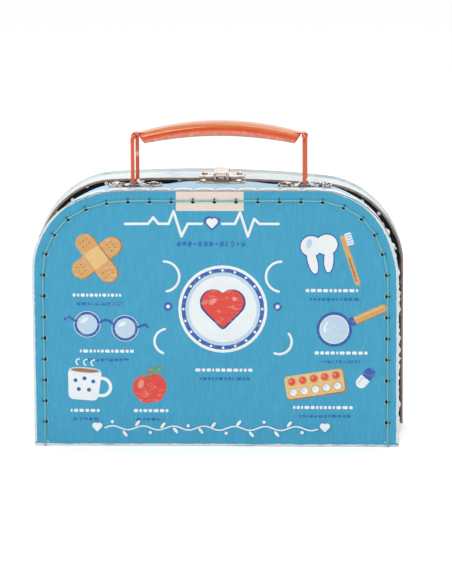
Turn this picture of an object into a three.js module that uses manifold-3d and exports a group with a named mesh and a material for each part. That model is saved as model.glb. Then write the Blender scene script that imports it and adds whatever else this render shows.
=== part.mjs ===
// A child's stitched cardboard suitcase, closed and standing on its spine.
// Millimetres, +Z up. X runs along the case, the base tray's panel faces -Y and the lid +Y.
// The origin is on the floor under the middle of the case.
import * as THREE from "three";
import { mergeVertices } from "three/addons/utils/BufferGeometryUtils.js";
import Module from "manifold-3d";

const wasm = await Module();
wasm.setup();

// Case
const caseWidth = 285;
const caseHeight = 205;
const caseDepth = 90;
const cornerRadius = 61;
const boardThickness = 1.8;
const panelOverhang = 1.5; // how far a panel stands out past its own wall
const spineFoldRadius = 2.2; // outside of the crease between base panel and spine
const creaseInnerRadius = 0.2;
const hingeGap = 0.3; // between the spine's rounded edge and the lid panel

// Walls
const wallThickness = 1.6;
const lidWallDepth = 32; // from the lid panel to the raw edge
const wallLap = 9; // how far the base wall goes in under the lid wall
const lidTopClearance = 1.1;
const lidSideClearance = 3.4;
const lidCornerRadius = 60;
const lidEndRise = 6; // the lid wall's lower ends stop short of the floor
const flangeWidth = 14;
const foldRadius = 3;
const notchHalfAngle = 0.1; // of the V between two stitches, where the flange turns a corner
const notchFoldMargin = 2; // board left between a notch and the fold
const tabLength = 14; // the base wall's ends turn in and lie on the spine

// Stitching
const stitchCount = 35;
const stitchInset = 8.3;
const firstStitchHeight = 18;
const stitchHoleRadius = 1.3;
const threadRadius = 0.5;
const threadLift = 0.12; // between the thread and the board
const threadDip = 0.5;
const threadTailHeight = 2;

// Metal and fasteners
const metalOffset = 3; // all the metal sits a little right of the middle
const plateThickness = 0.9;
const shankRadius = 1.4;
const shankClearance = 0.25;
const clenchRadius = 2.3;
const clenchThickness = 0.6;
const washerRadius = 3.4;
const washerThickness = 0.5;
const seatGap = 0.1; // between pieces that are clamped together
const cutOverrun = 1; // how far a cutter stands out of what it cuts

// Handle brackets
const handleSetback = 33; // from the base panel's face to the handle's plane
const bracketLength = 42;
const bracketWidth = 11.5;
const bridgeHalfWidth = 6.6;
const bridgeHeight = 5.6;
const earCornerRadius = 4;
const earRimHeight = 1.7;
const bracketRivetInset = 6.2; // from the end of the bracket
const bracketRivetRadius = 3.9;
const bracketRivetHeight = 2.4;

// Handle
const linkEndInset = 14.5; // from the end of the straight top to the link's pivot
const linkLength = 37.4;
const linkCornerRadius = 3;
const linkBridgeGap = 0.3; // over the wire, under its bridge
const linkSideGap = 0.3; // between each leg and the side of the folded grip
const wireRadius = 1.3;
const wireSeam = 0.4; // the wire's ends nearly meet inside the grip's eye
const eyeClearance = 0.3;
const gripSheet = 0.8;
const gripWidth = 15.5;
const gripEyeSetback = 3; // from the eye to the end of the grip's top
const gripEndSlant = 5; // the ends lean in below
const gripCrown = 11; // top of the grip above its eyes, in the middle
const gripEndTop = 1.6; // and at its ends
const gripMiddleBottom = 1.1;
const gripEndDrop = 4.9;
const gripShoulderRadius = 4;
const gripHemRadius = 1.3;
const gripTongueWidth = 10;
const linkLegSpacing = gripWidth + 2 * (wireRadius + linkSideGap);
const linkPivotHeight = seatGap + bridgeHeight - plateThickness - linkBridgeGap - wireRadius; // above the base wall

// Clasp
const claspPlateHalfWidth = 19.4;
const claspBaseDepth = 12.5; // base plate, forward of the lid's raw edge
const claspBasePoint = 2; // the V of its front edge
const claspRearGap = 1.4;
const claspCornerRadius = 2.5;
const claspRivetSpacing = 28;
const claspBaseRivetSetback = 7; // forward of the lid's raw edge
const claspLidRivetSetback = 14; // behind it
const claspRivetRadius = 2.8;
const claspRivetHeight = 1.6;
const claspLobeRadius = 4.8;
const claspLidFrontDepth = 9;
const claspTongueHalfWidth = 8.2;
const claspTongueDepth = 15;
const noseTabWidth = 5.5;
const noseTabSpacing = 20;
const noseTabFootGap = 1.3; // above the base wall
const hookWidth = 5;
const hookHeight = 4.6;
const hookNose = 0.9;
const hookSetback = 3.4; // rear face, forward of the lid's raw edge
const haspWidth = 12;
const haspWindowHalfWidth = 4.1;
const haspWindowBottom = 2.2; // heights above the base wall
const haspWindowTop = 6.2;
const haspFoot = 1.3;
const haspFrontTop = 7.6;
const haspReach = 5.25; // middle of the front face, forward of the lid's raw edge
const haspBendRadius = 1.2;
const haspCheekHeight = 3;
const haspCheekDepth = 7.5;
const pinSetback = 11; // behind the lid's raw edge
const pinHeight = 4.8; // above the lid wall
const pinRadius = 0.8;
const pinHeadRadius = 1.5;
const pinHeadThickness = 0.6;
const pinClearance = 0.2;
const knuckleHalfWidth = 4.4;
const earHalfWidth = 2.2;
const earSideGap = 0.3;

// Points closer than this are one point
const samePlace = 1e-4;

// Steps of round forms
const cornerSteps = 7; // half the facets of a corner
const bendSteps = 2;
const roundSides = 10;
const threadSides = 4;
const holeSides = 6;
const wireSides = 8;
const gripStations = 12;

// Places worked out from the sizes above
const basePanelFront = -caseDepth / 2;
const basePanelBack = basePanelFront + boardThickness;
const lidPanelFront = caseDepth / 2 - boardThickness;
const hingeY = caseDepth / 2 - boardThickness / 2;
const hingeZ = boardThickness / 2;
const lidEdgeY = lidPanelFront - seatGap - lidWallDepth;
const baseRimY = lidEdgeY + wallLap;
const baseOutline = {
  halfWidth: caseWidth / 2 - panelOverhang,
  top: caseHeight - panelOverhang,
  radius: cornerRadius - panelOverhang,
};
const linkSpacing = 2 * (baseOutline.halfWidth - baseOutline.radius - linkEndInset);
const gripTopHalfLength = linkSpacing / 2 - gripEyeSetback;
const gripBottomHalfLength = gripTopHalfLength - gripEndSlant;
const lidOutline = {
  halfWidth: baseOutline.halfWidth + lidSideClearance + wallThickness,
  top: baseOutline.top + lidTopClearance + wallThickness,
  radius: lidCornerRadius,
};
const baseWallTop = baseOutline.top;
const lidWallTop = lidOutline.top;
const lidRise = lidWallTop - baseWallTop;
const handleY = basePanelFront + handleSetback;

// An outline that is larger all round by a distance
function grown(outline, by) {
  return {
    halfWidth: outline.halfWidth + by,
    top: outline.top + by,
    radius: outline.radius + by,
  };
}

const basePanelOutline = grown(baseOutline, panelOverhang);
const lidPanelOutline = grown(lidOutline, panelOverhang);

// Finishes
const finishes = {
  printedBoard: { color: 0x4da4c6, roughness: 0.6, metalness: 0 },
  lightBoard: { color: 0xb0cce0, roughness: 0.6, metalness: 0 },
  whiteBoard: { color: 0xe6eef2, roughness: 0.6, metalness: 0 },
  thread: { color: 0x6eb2b9, roughness: 0.8, metalness: 0 },
  nickel: { color: 0xc9c6c0, roughness: 0.25, metalness: 1 },
  paintedMetal: { color: 0xe24a1e, roughness: 0.35, metalness: 0 },
};
const materials = Object.fromEntries(
  Object.entries(finishes).map(([name, look]) => [name, new THREE.MeshStandardMaterial(look)]),
);

// A closed geometry as a solid that can be joined and cut
function solid(geometry) {
  const bare = geometry.clone();
  bare.deleteAttribute("normal");
  bare.deleteAttribute("uv");
  const merged = mergeVertices(bare);
  return new wasm.Manifold(
    new wasm.Mesh({
      numProp: 3,
      vertProperties: new Float32Array(merged.attributes.position.array),
      triVerts: new Uint32Array(merged.index.array),
    }),
  );
}

// A named piece of the scene made from a solid
function piece(name, body, material) {
  const mesh = body.getMesh();
  const indexed = new THREE.BufferGeometry();
  indexed.setAttribute("position", new THREE.BufferAttribute(mesh.vertProperties, mesh.numProp));
  indexed.setIndex(new THREE.BufferAttribute(mesh.triVerts, 1));
  const geometry = indexed.toNonIndexed();
  geometry.computeVertexNormals();
  const made = new THREE.Mesh(geometry, material);
  made.name = name;
  return made;
}

function groupAt(x, y, z) {
  const group = new THREE.Group();
  group.position.set(x, y, z);
  return group;
}

// A shape of the XZ plane given thickness from y towards +Y
function upright(shape, y, thickness) {
  const geometry = new THREE.ExtrudeGeometry(shape, {
    depth: thickness,
    bevelEnabled: false,
    curveSegments: cornerSteps,
  });
  return geometry.rotateX(Math.PI / 2).translate(0, y + thickness, 0);
}

// A shape of the XY plane given thickness upwards from z
function flat(shape, z, thickness) {
  const geometry = new THREE.ExtrudeGeometry(shape, {
    depth: thickness,
    bevelEnabled: false,
    curveSegments: roundSides / 2,
  });
  return geometry.translate(0, 0, z);
}

// A shape of the YZ plane, drawn with y across and z up, spread evenly over a width along X
function across(shape, width, x = 0) {
  const geometry = new THREE.ExtrudeGeometry(shape, {
    depth: width,
    bevelEnabled: false,
    curveSegments: bendSteps * 2,
  });
  return geometry.translate(0, 0, -width / 2).rotateY(Math.PI / 2).rotateX(Math.PI / 2).translate(x, 0, 0);
}

function box(width, depth, height, x, y, z) {
  return solid(new THREE.BoxGeometry(width, depth, height).translate(x, y, z));
}

function uprightRod(radius, bottom, top, x, y, sides = roundSides) {
  const rod = new THREE.CylinderGeometry(radius, radius, top - bottom, sides);
  return solid(rod.rotateX(Math.PI / 2).translate(x, y, (top + bottom) / 2));
}

// A curve through exactly the points given, whose sections stand square to the mean direction
class Route extends THREE.Curve {
  constructor(points) {
    super();
    this.points = points;
  }

  getPoint(t, target = new THREE.Vector3()) {
    const place = t * (this.points.length - 1);
    const index = Math.min(Math.floor(place), this.points.length - 2);
    return target.lerpVectors(this.points[index], this.points[index + 1], place - index);
  }

  getPointAt(u, target) {
    return this.getPoint(u, target);
  }

  getTangentAt(u, target = new THREE.Vector3()) {
    const last = this.points.length - 1;
    const index = Math.round(u * last);
    const here = this.points[index];
    const before = new THREE.Vector3().subVectors(here, this.points[Math.max(index - 1, 0)]);
    const after = new THREE.Vector3().subVectors(this.points[Math.min(index + 1, last)], here);
    return target.addVectors(before.normalize(), after.normalize()).normalize();
  }
}

function sweep(section, points) {
  return new THREE.ExtrudeGeometry(section, {
    steps: points.length - 1,
    extrudePath: new Route(points),
    curveSegments: bendSteps * 2,
  });
}

function roundSection(radius, sides) {
  const ring = [];
  for (let i = 0; i < sides; i++) {
    const angle = (2 * Math.PI * i) / sides;
    ring.push(new THREE.Vector2(radius * Math.cos(angle), radius * Math.sin(angle)));
  }
  return new THREE.Shape(ring);
}

// The points of a path, less those that repeat the one before
function linePoints(path, divisions) {
  return path
    .getPoints(divisions)
    .filter((point, i, all) => i === 0 || point.distanceTo(all[i - 1]) > samePlace);
}

// A bent sheet seen on edge: a line of points given thickness to both sides
function sheetShape(points, thickness) {
  const left = [];
  const right = [];
  points.forEach((here, i) => {
    const before = new THREE.Vector2().subVectors(here, points[Math.max(i - 1, 0)]).normalize();
    const after = new THREE.Vector2().subVectors(points[Math.min(i + 1, points.length - 1)], here).normalize();
    const along = new THREE.Vector2().addVectors(before, after).normalize();
    const stretch = 1 / Math.max(along.dot(before.lengthSq() ? before : after), Math.SQRT1_2);
    const side = new THREE.Vector2(-along.y, along.x).multiplyScalar((stretch * thickness) / 2);
    left.push(new THREE.Vector2().addVectors(here, side));
    right.push(new THREE.Vector2().subVectors(here, side));
  });
  return new THREE.Shape([...left, ...right.reverse()]);
}

function roundedRectangle(x0, y0, x1, y1, radius) {
  const shape = new THREE.Shape();
  shape.moveTo(x0 + radius, y0);
  shape.lineTo(x1 - radius, y0);
  shape.absarc(x1 - radius, y0 + radius, radius, -Math.PI / 2, 0, false);
  shape.lineTo(x1, y1 - radius);
  shape.absarc(x1 - radius, y1 - radius, radius, 0, Math.PI / 2, false);
  shape.lineTo(x0 + radius, y1);
  shape.absarc(x0 + radius, y1 - radius, radius, Math.PI / 2, Math.PI, false);
  shape.lineTo(x0, y0 + radius);
  shape.absarc(x0 + radius, y0 + radius, radius, Math.PI, Math.PI * 1.5, false);
  return shape;
}

// The arch that the case's outlines follow, from its left foot over the top to its right foot
function archPath(outline, foot) {
  const path = new THREE.Path();
  const centreX = outline.halfWidth - outline.radius;
  const centreZ = outline.top - outline.radius;
  path.moveTo(-outline.halfWidth, foot);
  path.lineTo(-outline.halfWidth, centreZ);
  path.absarc(-centreX, centreZ, outline.radius, Math.PI, Math.PI / 2, true);
  path.lineTo(centreX, outline.top);
  path.absarc(centreX, centreZ, outline.radius, Math.PI / 2, 0, true);
  path.lineTo(outline.halfWidth, foot);
  return path;
}

function archShape(outline, foot) {
  return new THREE.Shape(linePoints(archPath(outline, foot), cornerSteps));
}

// Evenly spaced places of the stitch holes on a panel
function stitchPlaces(panelOutline) {
  return archPath(grown(panelOutline, -stitchInset), firstStitchHeight).getSpacedPoints(stitchCount - 1);
}

function stitchHoles(panelOutline, from, to) {
  const depth = to - from;
  const holes = stitchPlaces(panelOutline).map((place) =>
    solid(
      new THREE.CylinderGeometry(stitchHoleRadius, stitchHoleRadius, depth, holeSides)
        .translate(place.x, (from + to) / 2, place.y),
    ),
  );
  return holes.reduce((all, hole) => all.add(hole));
}

// The thread lies along the face and dips a little into each hole.
// Its outward side is -1 on the base panel and 1 on the lid panel.
function stitching(panelOutline, faceY, outward) {
  const lie = faceY + outward * (threadLift + threadRadius);
  const dip = lie - outward * threadDip;
  const places = stitchPlaces(panelOutline);
  const last = places.length - 1;
  const points = [new THREE.Vector3(places[0].x, lie, threadTailHeight)];
  places.forEach((place, i) => {
    const along = new THREE.Vector2()
      .subVectors(places[Math.min(i + 1, last)], places[Math.max(i - 1, 0)])
      .setLength(stitchHoleRadius);
    points.push(
      new THREE.Vector3(place.x - along.x, lie, place.y - along.y),
      new THREE.Vector3(place.x, dip, place.y),
      new THREE.Vector3(place.x + along.x, lie, place.y + along.y),
    );
  });
  points.push(new THREE.Vector3(places[last].x, lie, threadTailHeight));
  return solid(sweep(roundSection(threadRadius, threadSides), points));
}

// Section of a wall strip with its folded flange, for a sweep up one side, over and down the other.
// Its x runs from the panel to the raw edge when towards is -1, and its y runs inwards.
function wallSection(depth, towards) {
  const inner = foldRadius - wallThickness;
  const shape = new THREE.Shape();
  shape.moveTo(0, flangeWidth);
  shape.lineTo(0, foldRadius);
  const steps = bendSteps * 2;
  for (let i = 1; i <= steps; i++) {
    const angle = (Math.PI / 2) * (i / steps);
    shape.lineTo(
      towards * foldRadius * (1 - Math.cos(angle)),
      foldRadius * (1 - Math.sin(angle)),
    );
  }
  shape.lineTo(towards * depth, 0);
  shape.lineTo(towards * depth, wallThickness);
  for (let i = steps; i >= 0; i--) {
    const angle = (Math.PI / 2) * (i / steps);
    shape.lineTo(
      towards * (foldRadius - inner * Math.cos(angle)),
      foldRadius - inner * Math.sin(angle),
    );
  }
  shape.lineTo(towards * wallThickness, flangeWidth);
  return shape;
}

function wall(outline, foot, panelY, depth, towards) {
  const points = linePoints(archPath(outline, foot), cornerSteps)
    .map((point) => new THREE.Vector3(point.x, panelY, point.y));
  return solid(sweep(wallSection(depth, towards), points));
}

// V notches that let a flange follow the corners
function flangeNotches(outline, panelOutline, flangeY) {
  const centreX = outline.halfWidth - outline.radius;
  const centreZ = outline.top - outline.radius;
  const reach = outline.radius - foldRadius - notchFoldMargin;
  const mouth = 2 * flangeWidth;
  const notch = new THREE.Shape([
    new THREE.Vector2(reach, 0),
    new THREE.Vector2(reach - mouth, mouth * Math.tan(notchHalfAngle)),
    new THREE.Vector2(reach - mouth, -mouth * Math.tan(notchHalfAngle)),
  ]);
  const places = stitchPlaces(panelOutline);
  const cutters = [];
  for (let i = 1; i < places.length; i++) {
    const middle = new THREE.Vector2().addVectors(places[i - 1], places[i]).divideScalar(2);
    const side = Math.sign(middle.x);
    const across = Math.abs(middle.x) - centreX;
    const up = middle.y - centreZ;
    if (across <= 0 || up <= 0) continue;
    const angle = Math.atan2(up, across);
    const cutter = new THREE.ExtrudeGeometry(notch, {
      depth: 2 * wallThickness + 2 * cutOverrun,
      bevelEnabled: false,
    })
      .translate(0, 0, -wallThickness - cutOverrun)
      .rotateX(Math.PI / 2)
      .rotateY(-(side > 0 ? angle : Math.PI - angle))
      .translate(side * centreX, flangeY, centreZ);
    cutters.push(solid(cutter));
  }
  return cutters.reduce((all, cutter) => all.add(cutter));
}

// Base panel and spine: one board with a rounded crease, ending in the rounded edge of the hinge
function makeBaseBoard() {
  const profile = new THREE.Shape();
  const inside = basePanelBack + creaseInnerRadius;
  const spineTop = boardThickness;
  const height = caseHeight + cutOverrun;
  profile.moveTo(basePanelFront, spineFoldRadius);
  profile.absarc(
    basePanelFront + spineFoldRadius, spineFoldRadius, spineFoldRadius, Math.PI, Math.PI * 1.5, false,
  );
  profile.lineTo(hingeY, 0);
  profile.absarc(hingeY, hingeZ, boardThickness / 2, -Math.PI / 2, Math.PI / 2, false);
  profile.lineTo(inside, spineTop);
  profile.absarc(
    inside, spineTop + creaseInnerRadius, creaseInnerRadius, -Math.PI / 2, -Math.PI, true,
  );
  profile.lineTo(basePanelBack, height);
  profile.lineTo(basePanelFront, height);
  const folded = solid(across(profile, caseWidth + cutOverrun));
  const outline = solid(
    upright(archShape(basePanelOutline, 0), basePanelFront - cutOverrun, caseDepth + 2 * cutOverrun),
  );
  return folded
    .intersect(outline)
    .subtract(stitchHoles(basePanelOutline, basePanelFront - cutOverrun, basePanelBack + cutOverrun));
}

function makeBaseWall() {
  const foot = boardThickness + creaseInnerRadius + seatGap;
  const panelY = basePanelBack + seatGap;
  const strip = wall(baseOutline, foot, panelY, baseRimY - panelY, -1);
  const tabStart = panelY + foldRadius;
  const tabs = [-1, 1].map((side) =>
    box(
      tabLength,
      baseRimY - tabStart,
      wallThickness,
      side * (baseOutline.halfWidth - tabLength / 2),
      (baseRimY + tabStart) / 2,
      foot + wallThickness / 2,
    ),
  );
  return strip
    .subtract(flangeNotches(baseOutline, basePanelOutline, panelY))
    .subtract(stitchHoles(basePanelOutline, basePanelBack - cutOverrun, panelY + wallThickness + cutOverrun))
    .add(tabs[0])
    .add(tabs[1])
    .subtract(rivetHoles([...bracketRivetPlaces(), ...claspRivetPlaces(-claspBaseRivetSetback)], baseWallTop));
}

function makeLidPanel() {
  const foot = hingeZ + boardThickness / 2 + hingeGap;
  return solid(upright(archShape(lidPanelOutline, foot), lidPanelFront, boardThickness)).subtract(
    stitchHoles(lidPanelOutline, lidPanelFront - cutOverrun, lidPanelFront + boardThickness + cutOverrun),
  );
}

function makeLidWall() {
  const panelY = lidPanelFront - seatGap;
  return wall(lidOutline, lidEndRise, panelY, lidWallDepth, 1)
    .subtract(flangeNotches(lidOutline, lidPanelOutline, panelY))
    .subtract(stitchHoles(lidPanelOutline, panelY - wallThickness - cutOverrun, lidPanelFront + cutOverrun))
    .subtract(rivetHoles(claspRivetPlaces(claspLidRivetSetback), lidWallTop));
}

// Where the fasteners go through the walls
function bracketRivetPlaces() {
  const reach = bracketLength / 2 - bracketRivetInset;
  return [-1, 1].flatMap((side) =>
    [-1, 1].map((end) => ({
      x: metalOffset + side * (linkSpacing / 2) + end * reach,
      y: handleY,
    })),
  );
}

function claspRivetPlaces(setback) {
  return [-1, 1].map((side) => ({
    x: metalOffset + side * (claspRivetSpacing / 2),
    y: lidEdgeY + setback,
  }));
}

function rivetHoles(places, wallTop) {
  const holes = places.map((place) =>
    uprightRod(
      shankRadius + shankClearance,
      wallTop - wallThickness - cutOverrun,
      wallTop + cutOverrun,
      place.x,
      place.y,
    ),
  );
  return holes.reduce((all, hole) => all.add(hole));
}

// How far a wall's inside has fallen away from its flat top by a distance from the middle
function wallFall(outline, x) {
  const past = Math.max(Math.abs(x) - (outline.halfWidth - outline.radius), 0);
  const inside = outline.radius - wallThickness;
  return inside - Math.sqrt(inside * inside - past * past);
}

// A domed rivet clenched under its washer; its head's seat is at the origin
function makeRivet(headRadius, headHeight, clamped) {
  const profile = [new THREE.Vector2(0, -clamped - clenchThickness)];
  profile.push(
    new THREE.Vector2(clenchRadius, -clamped - clenchThickness),
    new THREE.Vector2(clenchRadius, -clamped),
    new THREE.Vector2(shankRadius, -clamped),
    new THREE.Vector2(shankRadius, 0),
  );
  const domeSteps = bendSteps * 2;
  for (let i = 0; i <= domeSteps; i++) {
    const angle = (Math.PI / 2) * (i / domeSteps);
    profile.push(new THREE.Vector2(headRadius * Math.cos(angle), headHeight * Math.sin(angle)));
  }
  profile[profile.length - 1].x = 0;
  return solid(new THREE.LatheGeometry(profile, roundSides).rotateX(Math.PI / 2));
}

function makeWasher() {
  const bore = shankRadius + shankClearance;
  const top = 0;
  const bottom = -washerThickness;
  const profile = [
    new THREE.Vector2(bore, bottom),
    new THREE.Vector2(washerRadius, bottom),
    new THREE.Vector2(washerRadius, top),
    new THREE.Vector2(bore, top),
    new THREE.Vector2(bore, bottom),
  ];
  return solid(new THREE.LatheGeometry(profile, roundSides).rotateX(Math.PI / 2));
}

function addRivet(group, name, place, outline, headRadius, headHeight) {
  const fall = wallFall(outline, Math.abs(place.x) + washerRadius);
  const clamped = plateThickness + wallThickness + washerThickness + 4 * seatGap + fall;
  const rivet = piece(name, makeRivet(headRadius, headHeight, clamped), materials.nickel);
  rivet.position.set(place.x, place.y, outline.top + plateThickness + 2 * seatGap);
  const washer = piece(name + "_washer", makeWasher(), materials.nickel);
  washer.position.set(place.x, place.y, outline.top - wallThickness - seatGap - fall);
  group.add(rivet, washer);
}

// Stamped bracket: two dished ears and a bridge that the wire turns under
function makeBracket() {
  const half = bracketLength / 2;
  const middle = plateThickness / 2;
  const crest = bridgeHeight - plateThickness / 2;
  const line = new THREE.Path();
  line.moveTo(-half, middle);
  line.lineTo(-bridgeHalfWidth, middle);
  line.bezierCurveTo(-bridgeHalfWidth / 2, middle, -bridgeHalfWidth / 2, crest, 0, crest);
  line.bezierCurveTo(bridgeHalfWidth / 2, crest, bridgeHalfWidth / 2, middle, bridgeHalfWidth, middle);
  line.lineTo(half, middle);
  const strip = solid(
    upright(sheetShape(linePoints(line, roundSides / 2), plateThickness), -bracketWidth / 2, bracketWidth),
  );
  const plan = solid(
    flat(
      roundedRectangle(-half, -bracketWidth / 2, half, bracketWidth / 2, earCornerRadius),
      -cutOverrun,
      bridgeHeight + 2 * cutOverrun,
    ),
  );
  let bracket = strip.intersect(plan);
  for (const end of [-1, 1]) {
    const rimOuter = roundedRectangle(
      bridgeHalfWidth, -bracketWidth / 2, half, bracketWidth / 2, earCornerRadius,
    );
    const rimInner = roundedRectangle(
      bridgeHalfWidth - earCornerRadius,
      -bracketWidth / 2 + plateThickness,
      half - plateThickness,
      bracketWidth / 2 - plateThickness,
      earCornerRadius - plateThickness,
    );
    const rim = solid(flat(rimOuter, middle, earRimHeight - middle)).subtract(
      solid(flat(rimInner, middle - cutOverrun, earRimHeight + 2 * cutOverrun)),
    );
    bracket = bracket.add(end > 0 ? rim : rim.rotate([0, 0, 180]));
    bracket = bracket.subtract(
      uprightRod(
        shankRadius + shankClearance,
        -cutOverrun,
        plateThickness + cutOverrun,
        end * (half - bracketRivetInset),
        0,
      ),
    );
  }
  return bracket;
}

// Wire link: a rounded loop in the YZ plane that turns about its lower bar, which lies on the origin
function makeLink() {
  const half = linkLegSpacing / 2;
  const path = new THREE.Path();
  path.moveTo(wireSeam / 2, linkLength);
  path.lineTo(half - linkCornerRadius, linkLength);
  path.absarc(half - linkCornerRadius, linkLength - linkCornerRadius, linkCornerRadius, Math.PI / 2, 0, true);
  path.lineTo(half, linkCornerRadius);
  path.absarc(half - linkCornerRadius, linkCornerRadius, linkCornerRadius, 0, -Math.PI / 2, true);
  path.lineTo(-half + linkCornerRadius, 0);
  path.absarc(-half + linkCornerRadius, linkCornerRadius, linkCornerRadius, -Math.PI / 2, -Math.PI, true);
  path.lineTo(-half, linkLength - linkCornerRadius);
  path.absarc(
    -half + linkCornerRadius, linkLength - linkCornerRadius, linkCornerRadius, Math.PI, Math.PI / 2, true,
  );
  path.lineTo(-wireSeam / 2, linkLength);
  const points = linePoints(path, bendSteps).map((point) => new THREE.Vector3(0, point.x, point.y));
  return solid(sweep(roundSection(wireRadius, wireSides), points));
}

// Closed skin over rings of equal length, with flat ends
function loft(rings) {
  const count = rings[0].length;
  const positions = rings.flat().flatMap((point) => [point.x, point.y, point.z]);
  const index = [];
  for (let i = 0; i + 1 < rings.length; i++) {
    for (let j = 0; j < count; j++) {
      const next = (j + 1) % count;
      const a = i * count + j;
      const b = i * count + next;
      index.push(a, b, b + count, a, b + count, a + count);
    }
  }
  const flatEnd = rings[0].map((point) => new THREE.Vector2(point.y, point.z));
  for (const [a, b, c] of THREE.ShapeUtils.triangulateShape(flatEnd, [])) {
    const end = (rings.length - 1) * count;
    index.push(a, c, b, end + a, end + b, end + c);
  }
  const geometry = new THREE.BufferGeometry();
  geometry.setAttribute("position", new THREE.Float32BufferAttribute(positions, 3));
  geometry.setIndex(index);
  return geometry;
}

// Middle line of the grip's section, from one rolled hem over the top to the other, y across and z up
function gripSectionLine(top, bottom) {
  const sheetHalf = gripSheet / 2;
  const side = gripWidth / 2 - sheetHalf;
  const hem = gripHemRadius;
  const path = new THREE.Path();
  path.moveTo(-side + 2 * hem, bottom + hem);
  path.absarc(-side + hem, bottom + hem, hem, 0, -Math.PI, true);
  path.lineTo(-side, top - sheetHalf - gripShoulderRadius);
  path.absarc(
    -side + gripShoulderRadius, top - sheetHalf - gripShoulderRadius, gripShoulderRadius, Math.PI, Math.PI / 2, true,
  );
  path.lineTo(side - gripShoulderRadius, top - sheetHalf);
  path.absarc(
    side - gripShoulderRadius, top - sheetHalf - gripShoulderRadius, gripShoulderRadius, Math.PI / 2, 0, true,
  );
  path.lineTo(side, bottom + hem);
  path.absarc(side - hem, bottom + hem, hem, 0, -Math.PI, true);
  return linePoints(path, bendSteps);
}

// Painted grip: an arched channel, open below, whose ends run out in tongues curled round the links.
// Its eyes lie on the z = 0 plane at half the link spacing.
function makeGrip() {
  const rings = [];
  for (let i = 0; i <= gripStations; i++) {
    const share = (2 * i) / gripStations - 1;
    const fall = share * share;
    const top = gripCrown - (gripCrown - gripEndTop) * fall;
    const bottom = gripMiddleBottom - (gripMiddleBottom + gripEndDrop) * fall;
    const contour = sheetShape(gripSectionLine(top, bottom), gripSheet).getPoints();
    if (THREE.ShapeUtils.area(contour) < 0) contour.reverse();
    rings.push(
      contour.map((point) => {
        const depthShare = THREE.MathUtils.clamp((top - point.y) / (top - bottom), 0, 1);
        const halfLength = THREE.MathUtils.lerp(gripTopHalfLength, gripBottomHalfLength, depthShare);
        return new THREE.Vector3(share * halfLength, point.x, point.y);
      }),
    );
  }
  let grip = solid(loft(rings));
  const curl = wireRadius + eyeClearance + gripSheet / 2;
  const eye = linkSpacing / 2;
  const slope = (2 * (gripCrown - gripEndTop)) / gripTopHalfLength;
  const back = eye - gripTopHalfLength + gripShoulderRadius;
  for (const side of [-1, 1]) {
    const path = new THREE.Path();
    path.moveTo(side * (eye - back), gripEndTop - gripSheet / 2 + slope * gripShoulderRadius);
    path.lineTo(side * gripTopHalfLength, gripEndTop - gripSheet / 2);
    if (side > 0) path.absarc(eye, 0, curl, Math.PI * 0.55, -Math.PI * 1.2, true);
    else path.absarc(-eye, 0, curl, Math.PI * 0.45, Math.PI * 2.2, false);
    const tongue = upright(
      sheetShape(linePoints(path, roundSides / 2), gripSheet), -gripTongueWidth / 2, gripTongueWidth,
    );
    grip = grip.add(solid(tongue));
  }
  return grip;
}

// Clasp pieces share one frame: x = 0 is the clasp's middle, y = 0 the lid's raw edge,
// z = 0 the top of the base wall
const pinZ = lidRise + pinHeight;

function makeClaspBasePlate() {
  const rear = -claspRearGap;
  const front = -claspBaseDepth;
  const outline = new THREE.Shape();
  outline.moveTo(-claspPlateHalfWidth, rear - claspCornerRadius);
  outline.lineTo(-claspPlateHalfWidth, front + claspCornerRadius);
  outline.quadraticCurveTo(-claspPlateHalfWidth, front, -claspPlateHalfWidth + claspCornerRadius, front);
  outline.lineTo(0, front - claspBasePoint);
  outline.lineTo(claspPlateHalfWidth - claspCornerRadius, front);
  outline.quadraticCurveTo(claspPlateHalfWidth, front, claspPlateHalfWidth, front + claspCornerRadius);
  outline.lineTo(claspPlateHalfWidth, rear - claspCornerRadius);
  outline.quadraticCurveTo(claspPlateHalfWidth, rear, claspPlateHalfWidth - claspCornerRadius, rear);
  outline.lineTo(-claspPlateHalfWidth + claspCornerRadius, rear);
  outline.quadraticCurveTo(-claspPlateHalfWidth, rear, -claspPlateHalfWidth, rear - claspCornerRadius);
  let plate = solid(flat(outline, seatGap, plateThickness));
  // The hook stands up at the back and leans its nose forward through the hasp's window
  const rearFace = -hookSetback;
  const frontFace = rearFace - plateThickness;
  const hook = new THREE.Shape([
    new THREE.Vector2(rearFace, seatGap),
    new THREE.Vector2(rearFace, hookHeight),
    new THREE.Vector2(frontFace - hookNose, hookHeight),
    new THREE.Vector2(frontFace, haspWindowBottom),
    new THREE.Vector2(frontFace, seatGap),
  ]);
  plate = plate.add(solid(across(hook, hookWidth)));
  for (const side of [-1, 1])
    plate = plate.subtract(
      uprightRod(
        shankRadius + shankClearance,
        -cutOverrun,
        plateThickness + cutOverrun,
        side * (claspRivetSpacing / 2),
        -claspBaseRivetSetback,
      ),
    );
  return plate;
}

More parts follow.
